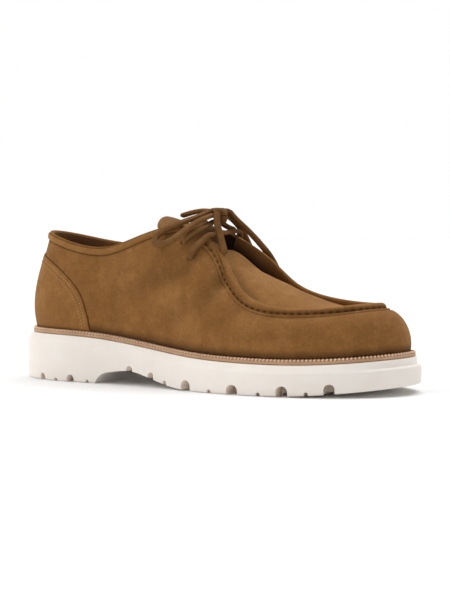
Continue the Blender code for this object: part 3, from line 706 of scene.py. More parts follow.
# Painted shade of the groove inside the lip, how much more at the throat, between which rows of the last
# that comes in, and the power at which the painted shade deepens down the groove
GROOVE_SHADE, THROAT_SHADE, GROOVE_ROWS, GROOVE_FALL = 0.4, 0.6, (2.5, 4.5), 0.5
# The apron: the painted highlight on its crown, and the share of its width over which it darkens with
# painted shade to the groove
APRON_HIGHLIGHT, APRON_SHADE = 0.7, 0.12
# The collar's roll: where it is fullest below the rim, its foot and how proud it stands; and the
# seam line under it: its way below the rim, depth and half width
ROLL_CREST, ROLL_FOOT, ROLL_PROUD = 1.0, 4.3, 1.5
ROLL_LINE_AT, ROLL_LINE, ROLL_LINE_WIDTH = 4.5, 0.5, 0.5
# Soft creases of the wall: x, y side, z, angle from level, half length, half width, depth
CREASES = (
    (166, -1, 70, 64, 17, 8, 1.3),
    (153, -1, 82, 55, 12, 7, -0.7),
    (124, -1, 75, 14, 26, 13, 1.3),
    (140, -1, 52, 35, 26, 11, 0.7),
    (92, -1, 80, 20, 18, 7, 0.5),
    (84, -1, 56, 80, 20, 9, 0.5),
    (214, -1, 38, 6, 24, 6, 0.5),
    (172, 1, 66, 60, 18, 8, 1.1),
    (122, 1, 66, 18, 28, 11, 1.0),
    (148, 1, 80, 65, 14, 7, 0.6),
    (88, 1, 60, 82, 20, 9, 0.5),
)
# How high the ridges beside a crease are, and the ways from the foot and the rim in which it comes in
CREASE_RIDGES, FOOT_CLEAR, RIM_CLEAR = 1.4, 7, 6
# Painted shade deep inside the shoe: the lining darkens towards the toe; how much, and between which rows
# of the last behind the toe tip
LINING_SHADE, LINING_DARK, LINING_ROWS = 0.9, (7.0, 8.6), 12
# Soft folds over the apron: x at its middle, half width, depth
APRON_FOLDS = ((172, 5, 0.4), (186, 6, 0.5), (201, 7, 0.4))


def upper_stations():
    lateral = np.append(np.arange(0, SEAM_START, COLLAR_STEP), np.arange(SEAM_START, TOE_ROW, SEAM_STEP))
    return np.concatenate([lateral, [TOE_ROW], SPANS - lateral[:0:-1]])


def seam_way(stations):
    """Length along the rim from the toe tip to each station."""
    fine = np.linspace(0, SPANS, RIM_POINTS * SPANS + 1)
    ends = np.append(0, np.cumsum(np.linalg.norm(np.diff(rim_line(fine), axis=0), axis=1)))
    return np.interp(stations, fine, ends) - np.interp(TOE_ROW, fine, ends)


def seam_lines(stations, over_rim, column):
    """One column of the seam's lines: a fold, a rolled ridge, the stitches' groove and the lip's face."""
    behind = from_toe(stations)
    there = 1 - smooth(SEAM_FADE, SEAM_TOP, behind)
    fold = FOLD_BELOW + FOLD_MORE * smooth(*FOLD_ROWS, behind)
    height = (over_rim - height_at(STITCH_LINE, behind)) / fold
    wave = 0.5 + 0.5 * np.cos(2 * math.pi * seam_way(stations) / STITCH_PITCH)
    strength = 1 - SEAM_EASE[column] * smooth(*EASE_ROWS, behind)
    total = np.zeros_like(height)
    for line in SEAM_LINES:
        come = strength * (1 - line["puckered"] * (1 - wave))
        total += line[column] * come * bell(height - line["place"], line["half_width"])
    return there * total


def crease_relief(points):
    """Listed creases: a trough with a low ridge along each side."""
    relief = np.zeros(points.shape[:-1])
    for x, side, z, angle, half_length, half_width, depth in CREASES:
        a = math.radians(angle)
        dx, dz = points[..., 0] - x, points[..., 2] - z
        along = dx * math.cos(a) + dz * math.sin(a)
        across = dz * math.cos(a) - dx * math.sin(a)
        shape = (1 - CREASE_RIDGES * (across / half_width) ** 2) * bell(across, half_width)
        relief -= depth * shape * bell(along, half_length) * (points[..., 1] * side > 0)
    return relief


def collar_line(below_rim):
    return bell(below_rim - ROLL_LINE_AT, ROLL_LINE_WIDTH)


def collar_roll(below_rim):
    """How full the collar's roll is, from 1 at its crest to 0 at its foot."""
    share = (np.clip(below_rim, ROLL_CREST, ROLL_FOOT) - ROLL_CREST) / (ROLL_FOOT - ROLL_CREST)
    return np.sqrt(1 - share**2)


def fine_heights(stations):
    """Heights of the wall's rows at each station, close together near the rim."""
    length = np.linalg.norm(rim_line(stations) - inside_wall(stations, [0.0])[0], axis=1)
    near = np.arange(0, FINE_DEPTH, FINE_STEP)[::-1]
    top = 1 - near[:, None] / length[None, :]
    low = np.linspace(0, 1, WALL_ROWS, endpoint=False)[:, None] * top[0][None, :]
    return np.concatenate([low, top])


def corner(before, at, after, reach):
    """A round corner on the way from before, past at, to after."""
    start = at + unit(before - at) * reach[:, None]
    end = at + unit(after - at) * reach[:, None]
    t = np.linspace(0, 1, CORNER_ROWS)[:, None, None]
    return (1 - t) ** 2 * start + 2 * t * (1 - t) * at + t * t * end


def surface_normals(grid):
    """Normals of a grid of rows by stations that closes on itself along the stations."""
    along = np.roll(grid, -1, 1) - np.roll(grid, 1, 1)
    return unit(np.cross(along, np.gradient(grid, axis=0)))


def painted_groove_shade(stations):
    return GROOVE_SHADE + THROAT_SHADE * smooth(*GROOVE_ROWS, from_toe(stations))


def upper_outside(stations):
    """The upper's outer face from the foot to the apron's edge, each point's way over the rim, and its
    painted shading.
    """
    heights = fine_heights(stations)
    base = wall(stations, heights, np.full(heights.shape, WALL))
    outer_top, inner_top, inner_foot = edge_rows(stations)
    rim = base[-1]
    face, top = np.linalg.norm(outer_top - rim, axis=1), np.linalg.norm(inner_top - outer_top, axis=1)
    reach = np.minimum(LIP_ROUND, CORNER_SHARE * np.minimum(face, top))
    first = corner(rim, outer_top, inner_top, reach)
    second = corner(outer_top, inner_top, inner_foot, reach)
    up = np.linspace(0, 1, FACE_ROWS, endpoint=False)[1:, None, None]
    down = np.linspace(0, 1, INSIDE_ROWS)[1:, None, None]
    grid = np.concatenate([
        base, rim + (first[0] - rim) * up, first, second, second[-1] + (inner_foot - second[-1]) * down,
    ])
    way = np.linalg.norm(np.diff(grid, axis=0), axis=2).cumsum(0)
    way = np.concatenate([np.zeros((1, grid.shape[1])), way])
    over_rim = way - way[len(base) - 1]
    below_rim = -over_rim[:len(base)]
    bound, seam = binding_share(stations), seam_share(stations)
    tail = np.linspace(1, 0, len(down))[:, None]
    creases = smooth(0, FOOT_CLEAR, way) * smooth(0, RIM_CLEAR, -over_rim) * crease_relief(grid)

    relief = seam_lines(stations, over_rim, "depth") + creases
    relief[:len(base)] += bound * (ROLL_PROUD * collar_roll(below_rim) - ROLL_LINE * collar_line(below_rim))
    relief[-len(down):] *= tail
    relief[0] = 0

    # Painted shading: painted shadows along the seam's fold, groove and lip face, a painted highlight on
    # its ridge, and painted shade in crease troughs with a painted highlight on their ridges
    painted_shading = seam_lines(stations, over_rim, "painted_shading") + CREASE_SHADING * creases
    # Painted highlight on the collar's roll and painted shadow on the seam line under it
    painted_shading[:len(base)] += bound * (ROLL_HIGHLIGHT * collar_roll(below_rim) - COLLAR_LINE_SHADOW * collar_line(below_rim))
    # Painted shade at the foot of the wall by the welt
    painted_shading -= FOOT_SHADE * (1 - smooth(*FOOT_FADE, way))
    # Painted highlight on the lip's top
    painted_shading += LIP_HIGHLIGHT * smooth(*LIP_RISE, over_rim) * seam
    # Painted shade down the groove inside the lip, deepest at the throat
    inside = len(down) + len(second) // 2
    fall = np.linspace(0, 1, inside)[:, None] ** GROOVE_FALL
    painted_shading[-inside:] -= (LIP_HIGHLIGHT + painted_groove_shade(stations)) * seam * fall
    return grid + surface_normals(grid) * relief[..., None], over_rim, np.clip(painted_shading, -1, 1)


def apron_sheet(lateral, medial, ridge):
    """Rows across the apron from the throat forward, crowned, with soft folds over the ball."""
    across = np.linspace(0, 1, APRON_COLUMNS + 1)[:, None]
    inside = 1 - np.abs(2 * across - 1) ** CROWN_POWER
    rows = []
    for low, high, top in zip(lateral, medial, ridge):
        chord = low + (high - low) * across
        points = chord + (top - (low[2] + high[2]) / 2) * inside * UP
        fold = sum(depth * bell(points[:, :1] - x, width) for x, width, depth in APRON_FOLDS)
        rows.append(points - fold * inside * UP)
    return np.array(rows)


def make_upper():
    stations = upper_stations()
    outside, over_rim, painted_shading = upper_outside(stations)
    count = len(stations)
    first, tip = np.searchsorted(stations, (FACING_FOOT_ROW, TOE_ROW))
    build = Mesher()
    outer = [build.row(ring, shade) for ring, shade in zip(outside, painted_shading)]
    # Painted shade: the lining darkens towards the toe, deep inside the shoe
    depth = LINING_SHADE * (smooth(*LINING_DARK, from_toe(stations)) - 1)
    inner = [build.row(ring, depth) for ring in inside_wall(stations, np.linspace(0, 1, LINING_ROWS))]
    build.loft(outer, True)
    build.loft(inner, True, 1)
    build.bridge(outer[0], inner[0], True, 1)

    edge = outside[-1]
    throat = np.arange(first, tip)
    rows = apron_sheet(edge[throat], edge[count - throat], last_column("ridge_z", stations)[throat])
    normal = unit(np.cross(np.gradient(rows, axis=0), np.gradient(rows, axis=1)))
    shares = np.linspace(0, 1, APRON_COLUMNS + 1)
    crown = smooth(0, APRON_SHADE, np.minimum(shares, 1 - shares))
    top, under = [], []
    for k, points, directions, groove in zip(throat, rows, normal, painted_groove_shade(stations[throat])):
        # Painted shade on the apron's sides towards the groove, and a painted highlight on its crown
        shade = -groove + (groove + APRON_HIGHLIGHT) * crown
        top.append([outer[-1][k], *build.row(points[1:-1], shade[1:-1]), outer[-1][count - k]])
        under.append(build.row(points - WALL * directions))
    under_tip = build.row(edge[tip] - WALL * UP)[0]
    build.loft(top)
    build.fan(top[-1], outer[-1][tip])
    build.loft(under, slot=1)
    build.fan(under[-1], under_tip, 1)
    build.bridge(top[0], under[0])

    under_edge = [row[0] for row in under] + [under_tip] + [row[-1] for row in under[::-1]]
    seam = range(first, count - first + 1)
    build.bridge([inner[-1][k] for k in seam], under_edge, slot=1)
    collar = [k % count for k in range(count - first, count + first + 1)]
    build.bridge([outer[-1][k] for k in collar], [inner[-1][k] for k in collar], slot=0)
    for k, end in ((first, under_edge[0]), (count - first, under_edge[-1])):
        build.face((outer[-1][k], inner[-1][k], end))
    upper = mesh_object("upper_suede", build, (SUEDE, LINING))
    cut_out(upper, [make_eyelet_cutter()], "EXACT")
    dress(upper, "suede", "upper")
    make_seam_stitches(stations, outside, over_rim)


# A hole's radius and sides, and the way in and out of the wall between which its direction is read
EYELET_RADIUS, EYELET_SIDES, EYELET_PROBE = 1.9, 20, 3
# The punch's widening: ways out of the wall, and shares of the radius there
EYELET_FLARE = ((-6, 1.0), (0, 1.0), (0.5, 1.15), (6, 1.6))


def make_eyelet_cutter():
    build = Mesher()
    angles = round_angles(EYELET_SIDES)
    for _, station, height, _ in EYELETS:
        for place in (station, SPANS - station):
            low, high = on_wall(place, height, -EYELET_PROBE), on_wall(place, height, EYELET_PROBE)
            middle, axis = on_wall(place, height, 0), unit(high - low)
            side = unit(np.cross(axis, UP))
            circle = np.outer(np.cos(angles), side) + np.outer(np.sin(angles), np.cross(axis, side))
            rings = [build.row(middle + axis * at + circle * EYELET_RADIUS * r) for at, r in EYELET_FLARE]
            build.tube(rings)
    return mesh_object("eyelet_holes", build, ())


# Threads


# Shares of a thread's half length at which its rings stand, the power that rounds its ends, how
# small they get, and how many radii its ends go into the surface
THREAD_RINGS = (-1, -0.8, -0.4, 0, 0.4, 0.8, 1)
THREAD_ROUND, THREAD_TIP, THREAD_SINK = 4, 0.05, 1.2


def read_line(values, ends, places):
    return np.column_stack([np.interp(places, ends, values[:, k]) for k in range(3)])


def add_stitches(build, points, normals, pitch, length, radius, sides=7, slant=0, ends=None):
    """Short threads along a line, turned by a slant, each arched so that its ends go into the surface.

    A thread lies half a pitch after each whole pitch of ends, the length along the line.
    """
    if ends is None:
        ends = np.append(0, np.cumsum(np.linalg.norm(np.diff(points, axis=0), axis=1)))
    places = np.arange((math.floor(ends[0] / pitch) + 0.5) * pitch, ends[-1], pitch)
    places = places[places > ends[0]]
    nearby = 0.3
    middle = read_line(points, ends, places)
    along = unit(read_line(points, ends, places + nearby) - read_line(points, ends, places - nearby))
    normal = unit(read_line(normals, ends, places))
    angles = round_angles(sides)
    for centre, ahead, out in zip(middle, along, normal):
        side = unit(np.cross(out, ahead))
        lean = math.radians(slant)
        ahead, side = (
            math.cos(lean) * ahead + math.sin(lean) * side, math.cos(lean) * side - math.sin(lean) * ahead
        )
        rings = []
        for t in THREAD_RINGS:
            thick = radius * math.sqrt(max(1 - abs(t) ** THREAD_ROUND, THREAD_TIP))
            at = centre + ahead * (t * length / 2) - out * (radius * THREAD_SINK * t * t)
            rings.append(build.row([
                at + thick * (math.cos(a) * side + math.sin(a) * out) for a in angles
            ]))
        build.tube(rings)


def make_seam_stitches(stations, outside, over_rim):
    """Thick stitches in the groove of the apron seam, from facing to facing round the toe."""
    build = Mesher()
    normals = surface_normals(outside)
    seam = np.where(from_toe(stations) < STITCH_END)[0]
    line, out = [], []
    for k, height in zip(seam, height_at(STITCH_LINE, from_toe(stations[seam]))):
        place = np.interp(height, over_rim[:, k], np.arange(len(over_rim)))
        low, share = int(place), place - int(place)
        line.append(outside[low, k] * (1 - share) + outside[low + 1, k] * share)
        out.append(normals[low, k])
    ends = seam_way(stations[seam]) - STITCH_PITCH / 2
    add_stitches(build, np.array(line), np.array(out), *STITCH_SIZES, ends=ends)
    dress(mesh_object("seam_stitches", build, (THREAD_DARK,)), "suede_dark")


# The heel counter


# How proud the counter stands, the way in which its edge rounds up to that, how far the edge and the
# back lie in the wall, and the foot's height as a share of the wall's
COUNTER_LIFT, COUNTER_ROUND, COUNTER_SINK, COUNTER_BACK, COUNTER_FOOT = 0.8, 1.4, 0.25, 0.5, 0.012
# The counter's rows, and the power that crowds them towards its upper edge
COUNTER_ROWS, COUNTER_SPREAD = 34, 1.8
# About how many millimetres a station and the wall's height are, the spacing of points along the
# edge, and the lowest shares of the wall's height for the edge and for a stitch
COUNTER_SCALE, COUNTER_STEP, EDGE_LOWEST, STITCH_LOWEST = (32.0, 70.0), 0.7, 0.02, 0.03
# Painted highlight over the counter and painted shadow along its edge, and the way in from the edge where
# the change starts
COUNTER_HIGHLIGHT, COUNTER_EDGE_SHADOW, COUNTER_DARK = 0.35, -0.6, 0.3
# Distances of its two rows of stitches from its edge, and their pitch, length and radius
COUNTER_STITCHES, COUNTER_THREAD = (3.2, 6.2), (2.3, 1.7, 0.33)


def counter_edge():
    """The counter's upper edge on the lateral side as stations and heights, close together."""
    line = open_curve(np.array(COUNTER_EDGE) * COUNTER_SCALE, COUNTER_STEP) / COUNTER_SCALE
    return np.maximum.accumulate(line[:, 0]), np.clip(line[:, 1], EDGE_LOWEST, 1)


def counter_row(distance, side):
    """A line on the counter at a distance inside its edge, with its normals; side mirrors it."""
    stations, heights = counter_edge()
    keep = slice(2, -3, 2)
    line, out = [], []
    for s, h in zip(stations[keep], heights[keep]):
        place = s if side < 0 else SPANS - s
        nearby = 0.01
        here = on_wall(place, h, 0.0)
        by_station = (on_wall(place + nearby, h, 0.0) - here) / nearby
        by_height = (on_wall(place, h - nearby, 0.0) - here) / -nearby
        index = np.searchsorted(stations, s)
        ds, dh = stations[index + 1] - stations[index - 1], heights[index + 1] - heights[index - 1]
        along = unit(by_station * ds * (1 if side < 0 else -1) + by_height * dh)
        normal = unit(np.cross(by_station, by_height))
        inward = np.cross(normal, along) * (-1 if side < 0 else 1)
        move = np.linalg.lstsq(np.column_stack([by_station, by_height]), inward * distance, rcond=None)[0]
        if h + move[1] < STITCH_LOWEST:
            continue
        line.append(on_wall(place + move[0], h + move[1], COUNTER_LIFT))
        out.append(normal)
    return np.array(line), np.array(out)


def make_counter():
    stations, tops = counter_edge()
    stations = np.append(SPANS - stations[:0:-1], stations)
    tops = np.append(tops[:0:-1], tops)
    spread = 1 - (1 - np.linspace(0, 1, COUNTER_ROWS)) ** COUNTER_SPREAD
    heights = COUNTER_FOOT + (tops - COUNTER_FOOT)[None, :] * spread[:, None]
    base = wall(stations, heights, np.full(heights.shape, WALL))
    edge = np.concatenate([base[-1], base[:, 0], base[:, -1]])
    far = np.array([[np.linalg.norm(edge - p, axis=1).min() for p in row] for row in base])
    share = np.clip(far / COUNTER_ROUND, 0, 1)
    lift = WALL - COUNTER_SINK + (COUNTER_LIFT + COUNTER_SINK) * np.sqrt(1 - (1 - share) ** 2)
    build = Mesher()
    # Painted highlight over the counter and painted shadow along its edge
    inside = smooth(COUNTER_DARK, COUNTER_ROUND, far)
    painted_shading = COUNTER_EDGE_SHADOW + (COUNTER_HIGHLIGHT - COUNTER_EDGE_SHADOW) * inside
    outer = [build.row(ring, shade) for ring, shade in zip(wall(stations, heights, lift), painted_shading)]
    back = np.full(heights.shape, WALL - COUNTER_BACK)
    inner = [build.row(ring) for ring in wall(stations, heights, back)]
    build.sheet(outer, inner)
    dress(mesh_object("counter_suede", build, (SUEDE,)), "suede", "heel_counter")
    threads = Mesher()
    for side in (-1, 1):
        for distance in COUNTER_STITCHES:
            line, out = counter_row(distance, side)
            add_stitches(threads, line, out, *COUNTER_THREAD)
    dress(mesh_object("counter_stitches", threads, (THREAD_LIGHT,)), "suede")


# The tongue and the insole


# Painted shade on the tongue down in the throat: how much, and from which x to which
TONGUE_SHADE, TONGUE_DARK = 0.9, (136, 150)
# How much the tongue bulges under the knot, and where along it the bulge comes and goes
TONGUE_BULGE, BULGE_BACK, BULGE_FRONT = 9.0, (121, 133), (140, 149)
# How round its sides are, and in how many rows its end thins out
TONGUE_ROUND, TONGUE_END = 4, 3


def make_tongue():
    """A padded strip with round edges."""
    x, top_z, half_width, edge_drop = open_curve(TONGUE_TABLE, TONGUE_STEP).T[..., None]
    across = np.linspace(-1, 1, TONGUE_POINTS)
    y = half_width * across
    bulge = TONGUE_BULGE * smooth(*BULGE_BACK, x) * (1 - smooth(*BULGE_FRONT, x))
    z = top_z + bulge - (edge_drop + bulge) * across**2
    rows = np.stack([np.repeat(x, len(across), 1), y, z], -1)
    normal = unit(np.cross(np.gradient(rows, axis=1), np.gradient(rows, axis=0)))
    normal *= np.sign(normal[..., 2:])
    ease = np.sqrt(1 - across**TONGUE_ROUND)[None, :, None]
    end = np.sqrt(np.clip(np.arange(len(rows))[::-1] / TONGUE_END, 0, 1))[:, None, None]
    middle = rows - TONGUE_THICK / 2 * normal
    build = Mesher()
    # Painted shade on the tongue down in the throat
    shade = -TONGUE_SHADE * smooth(*TONGUE_DARK, x[:, 0])
    sheets = []
    for side in (1, -1):
        sheet = middle + side * TONGUE_THICK / 2 * ease * end * normal
        sheets.append([build.row(row, painted_shading) for row, painted_shading in zip(sheet, shade)])
    build.sheet(*sheets, 1)
    dress(mesh_object("tongue_suede", build, (SUEDE_DARK, LINING)), "suede_dark", "tongue")


# The sock: its level over the insole, how much it is dished, and how far its edge falls
SOCK_LEVEL, SOCK_DISH, SOCK_EDGE = 0.2, 0.96, 1.2
# Powers of the way out from the middle at which the dish and the edge go
DISH_POWER, EDGE_POWER = 4, 40


def make_insole():
    """A sock over the insole board, dished a little under the foot."""
    half = np.arange(1, TOE_ROW * PER_SPAN) / PER_SPAN
    inset = WELT_IN - GAP
    lateral, medial = outline(inset, half), outline(inset, SPANS - half)
    across = np.linspace(0, 1, SOCK_POINTS)[:, None]
    way_out = np.abs(2 * across[:, 0] - 1)
    level = INSOLE + SOCK_LEVEL - SOCK_DISH * (1 - way_out**DISH_POWER) - SOCK_EDGE * way_out**EDGE_POWER
    build = Mesher()
    top, under = [], []
    for a, b in zip(lateral, medial):
        plan = a + (b - a) * across
        base = height_at(SOLE_TOP, plan[:, 0]) + GAP
        top.append(build.row(np.column_stack([plan, base + level])))
        under.append(build.row(np.column_stack([plan, base])))
    build.sheet(top, under)
    dress(mesh_object("insole_sock", build, (SOCK,), BOARD_EDGE), "insole_leather", "insole")


# The welt


# The beads: pitch, length, radius, sides and slant, and the line they lie on, in from the welt's
# edge and down from its top
BEAD_SIZES = (2.6, 2.3, 0.85, 10, 28)
BEAD_INSET, BEAD_DROP, BEAD_LINE_POINTS = 0.75, 0.7, 4000
# The welt's section from its inner lower corner round to the inner upper one, and the point in it
# from which on it is the beads' seat
BEAD_SEAT = 5
WELT_PROFILE = (
    (WELT_IN, 0.0), (WELT_OUT - 0.5, 0.0), (WELT_OUT - 0.15, 0.15), (WELT_OUT, 0.5), (WELT_OUT + 0.05, 1.2),
    (WELT_OUT, 1.9), (WELT_OUT - 0.25, 2.3), (WELT_OUT - 0.9, 2.5), (WELT_OUT - 1.7, 2.75), (WELT_IN, 2.9),
)


def welt_ring(out, level, stations):
    plan = outline(out, stations)
    return np.column_stack([plan, height_at(SOLE_TOP, plan[:, 0]) + GAP + level])


def make_welt():
    build = Mesher()
    rings = [build.row(welt_ring(out, level, STATIONS)) for out, level in WELT_PROFILE]
    build.loft(rings[:BEAD_SEAT + 1], True)
    # The welt's top takes the painted shade
    build.loft(rings[BEAD_SEAT:], True, 1)
    build.bridge(rings[-1], rings[0], True)
    dress(mesh_object("welt_band", build, (WELT_SKIN, WELT_SEAT_SHADE), BOARD_EDGE), "welt_leather", "welt")

    stations = np.linspace(0, SPANS, BEAD_LINE_POINTS)
    beads = Mesher()
    line = welt_ring(WELT_OUT - BEAD_INSET, WELT - BEAD_DROP, stations)
    add_stitches(beads, line, outward(stations), *BEAD_SIZES)
    dress(mesh_object("welt_beads", beads, (BEAD,)), "welt_leather")


# The sole


# Side of the sole from the tread up: distance out of the foot line along the flanks and heel, and
# at the toe, where the shoulder is a step, and height from bottom or top
SOLE_SIDE = (
    (7.7, 7.7, "bottom", 0.0), (8.4, 8.4, "bottom", 0.2), (8.9, 8.9, "bottom", 0.7),
    (9.2, 9.2, "bottom", 1.4), (9.45, 9.45, "bottom", 4.0),
    (SOLE_OUT, SOLE_OUT, "top", -9.0), (SOLE_OUT, SOLE_OUT, "top", -7.4), (9.48, 9.35, "top", -6.6),
    (9.4, 9.0, "top", -6.0), (9.3, 8.4, "top", -5.6), (9.1, 7.3, "top", -5.1), (8.95, 6.9, "top", -4.8),
    (8.65, 6.7, "top", -4.3), (7.3, 6.5, "top", -2.0), (6.35, 6.35, "top", -0.5),
    (6.05, 6.1, "top", -0.1), (5.5, 5.5, "top", 0.0),
)
# Rows of the last behind the toe tip between which the toe's step goes out
STEP_ROWS = (0.7, 2.4)
NOTCH_REACH, NICK_REACH, NOTCH_SIDES, NICK_SIDES = 13.0, 8.0, 14, 6
# A notch's mouth: ways into the sole and how much wider it is there, its taper at its end, and how
# far its cutter goes below the tread
NOTCH_MOUTH = ((-4.0, 1.4), (-0.2, 0.55), (0.25, 0.22), (0.9, 0.0))
NOTCH_TAPER, NOTCH_BELOW = -0.25, 3.0
# A tread channel's section: shares of the notch's width across, and heights; and how far it runs
# into the notches
CHANNEL = ((-0.4, -2.0), (0.4, -2.0), (0.4, 0.6), (0.3, 1.4), (-0.3, 1.4), (-0.4, 0.6))
CHANNEL_OVERLAP = 1.0
# The cutter of the space under the waist: spacing of its points, how far it goes back past the arch
# and below the floor, and its half width
WAIST_STEP, WAIST_BACK, WAIST_BELOW, WAIST_HALF_WIDTH = 2.0, 3.0, 5.0, 80.0


def sole_bottom(x):
    """Height of the tread over the floor: flat to the ball, then the toe spring."""
    share = np.clip((np.asarray(x, float) - SPRING_START) / (SPRING_END - SPRING_START), 0, None)
    return SPRING_RISE * share**SPRING_POWER


def waist_rise(x):
    """How far the waist's underside stands over the floor."""
    xs, zs = np.array(ARCH, float).T
    return np.interp(x, xs, zs, 0, 0)


def station_at(x, lateral):
    """Station on one side of the foot line where it passes an x."""
    stations = np.linspace(0 if lateral else SPANS, TOE_ROW, SIDE_POINTS)
    return float(np.interp(x, foot_line(stations)[:, 0], stations))


def notch_outline(width, height, sides, grow):
    """A notch's outline, flat below the floor and round on top, widened by grow."""
    radius = width / 2 + grow
    angles = np.linspace(0, math.pi, sides + 1)
    top = [(radius * math.cos(a), height - width / 2 + radius * math.sin(a)) for a in angles]
    return [(-radius, -NOTCH_BELOW), (radius, -NOTCH_BELOW)] + top


def make_notch_cutter(name, table, reach, sides):
    """Notches whose mouths widen a little, so that their edges are soft."""
    build = Mesher()
    for x, width, height in table:
        for lateral in (True, False):
            station = np.array([station_at(x, lateral)])
            out = outward(station)[0]
            across = np.cross(UP, out)
            plan = outline(SOLE_OUT, station)[0]
            edge = np.append(plan, sole_bottom(plan[0]))
            rings = []
            for depth, grow in (*NOTCH_MOUTH, (reach, NOTCH_TAPER)):
                shape = notch_outline(width, height + waist_rise(plan[0]), sides, grow)
                rings.append(build.row([edge - out * depth + across * a + UP * b for a, b in shape]))
            # The notches' faces take the foam's painted shade
            build.tube(rings, 1)
    return mesh_object(name, build, ())


def make_channel_cutter():
    """Shallow channels of the tread from each notch to the one across the sole."""
    build = Mesher()
    for x, width, _ in NOTCHES[:2] + NOTCHES[4:]:
        ends = []
        for lateral in (True, False):
            station = np.array([station_at(x, lateral)])
            ends.append(outline(SOLE_OUT - NOTCH_REACH + CHANNEL_OVERLAP, station)[0])
        along = unit(np.append(ends[1] - ends[0], 0.0))
        side = np.cross(UP, along)
        rings = []
        for end in ends:
            base = np.append(end, sole_bottom(end[0]))
            rings.append(build.row([base + side * a * width + UP * b for a, b in CHANNEL]))
        build.tube(rings)
    return mesh_object("tread_channels", build, ())


def make_waist_cutter():
    """A prism across the shoe with the outline of the space under the waist."""
    build = Mesher()
    curve = open_curve(ARCH, WAIST_STEP)
    shape = [(ARCH[0][0] - WAIST_BACK, -WAIST_BELOW), *curve, (ARCH[-1][0], -WAIST_BELOW)]
    rows = [build.row([(x, side * WAIST_HALF_WIDTH, z) for x, z in shape]) for side in (-1, 1)]
    build.tube(rows)
    return mesh_object("waist_space", build, ())


def make_outsole():
    build = Mesher()
    rings = []
    toe = 1 - smooth(*STEP_ROWS, from_toe(STATIONS))[:, None]
    for flank_out, toe_out, base, level in SOLE_SIDE:
        plan = outline(flank_out, STATIONS) * (1 - toe) + outline(toe_out, STATIONS) * toe
        under = sole_bottom(plan[:, 0]) if base == "bottom" else height_at(SOLE_TOP, plan[:, 0])
        rings.append(build.row(np.column_stack([plan, under + level])))
    build.loft(rings, True)
    build.cap(rings[0])
    build.cap(rings[-1])
    sole = mesh_object("outsole_foam", build, (FOAM, FOAM_NOTCH_SHADE))
    notches = make_notch_cutter("lug_notches", NOTCHES, NOTCH_REACH, NOTCH_SIDES)
    nicks = make_notch_cutter("lug_nicks", NICKS, NICK_REACH, NICK_SIDES)
    cut_out(sole, [make_waist_cutter(), notches, nicks, make_channel_cutter()], "EXACT", SOLE_EDGE)
    dress(sole, "foam_rubber", "outsole")


# The laces


LACE_WIDTH, LACE_THICK, LACE_STEP, LACE_SIDES = 4.7, 3.0, 1.2, 14
# Height of the line along the foot that the lace's flat side faces, and how often that is evened out
LACE_AXIS_Z, LACE_EVENING = 84.0, 6
# Powers that square up the lace's section across and through it, and its size at the very ends
SQUARE_WIDE, SQUARE_DEEP, LACE_TIP = 0.7, 0.8, 0.86
# Where a crossing's lace goes through its eyelet: lift at its hidden end and at the hole, and the
# way it has turned there; and the points it has on each side
BAR_INTO, BAR_BEND, BAR_AHEAD, BAR_POINTS = -3.6, 0.2, 0.4, 4


def thong(build, route, width=LACE_WIDTH, thick=LACE_THICK, step=LACE_STEP, centre=None):
    """A flat round-edged leather lace along a route, its flat side facing the foot or a centre."""
    points = open_curve(route, step)
    along = unit(np.gradient(points, axis=0))
    away = points - np.array([0, 0, LACE_AXIS_Z] if centre is None else centre)
    if centre is None:
        away[:, 0] = 0
    out = unit(away - (away * along).sum(1)[:, None] * along)
    for _ in range(LACE_EVENING):
        out[1:-1] = unit(out[:-2] + 2 * out[1:-1] + out[2:])
        out = unit(out - (out * along).sum(1)[:, None] * along)
    side = np.cross(along, out)
    angles = round_angles(LACE_SIDES)
    cosines, sines = np.cos(angles), np.sin(angles)
    wide = np.sign(cosines) * np.abs(cosines) ** SQUARE_WIDE * width / 2
    deep = np.sign(sines) * np.abs(sines) ** SQUARE_DEEP * thick / 2
    rings = []
    for k, point in enumerate(points):
        shrink = LACE_TIP if k in (0, len(points) - 1) else 1.0
        rings.append(build.row(point + shrink * (np.outer(wide, side[k]) + np.outer(deep, out[k]))))
    build.tube(rings)
    return points


def lace_bar_route(name):
    """From the lateral eyelet of a pair over both facing edges to the medial one."""
    start, height, crossing = next(row[1:] for row in EYELETS if row[0] == name)
    at_eyelet, at_edge, over_throat = BAR_LIFTS
    clear = LACE_DIAMETER / 2 + GAP
    lateral = []
    for share in np.linspace(0, 1, BAR_POINTS):
        station = start + (crossing - start) * share
        lift = clear + at_eyelet + (at_edge - at_eyelet) * share**2
        lateral.append((station, height + (1 - height) * share, lift))
    medial = [(SPANS - station, h, lift) for station, h, lift in lateral[::-1]]
    pair = np.array([crossing, SPANS - crossing])
    over_edge = EDGE_OUTER * WALL + EDGE_HEIGHT + clear + over_throat
    crests = rim_line(pair) + over_edge * edge_frame(pair)[1]
    middle = crests.mean(0)
    if name == "upper":
        middle[2] = KNOT_CENTRE[2] - KNOT_SIZE[2] / 2 - clear
    sides = [[on_wall(*place) for place in side] for side in (lateral, medial)]
    eyelets = (start, SPANS - start)
    into = [on_wall(place, height, BAR_INTO) for place in eyelets]
    ahead = [unit(side[1] - side[0]) for side in (sides[0], sides[1][::-1])]
    bend = [on_wall(place, height, BAR_BEND) + BAR_AHEAD * way for place, way in zip(eyelets, ahead)]
    return [into[0], bend[0], *sides[0][1:], crests[0], middle, crests[1], *sides[1][:-1], bend[1], into[1]]


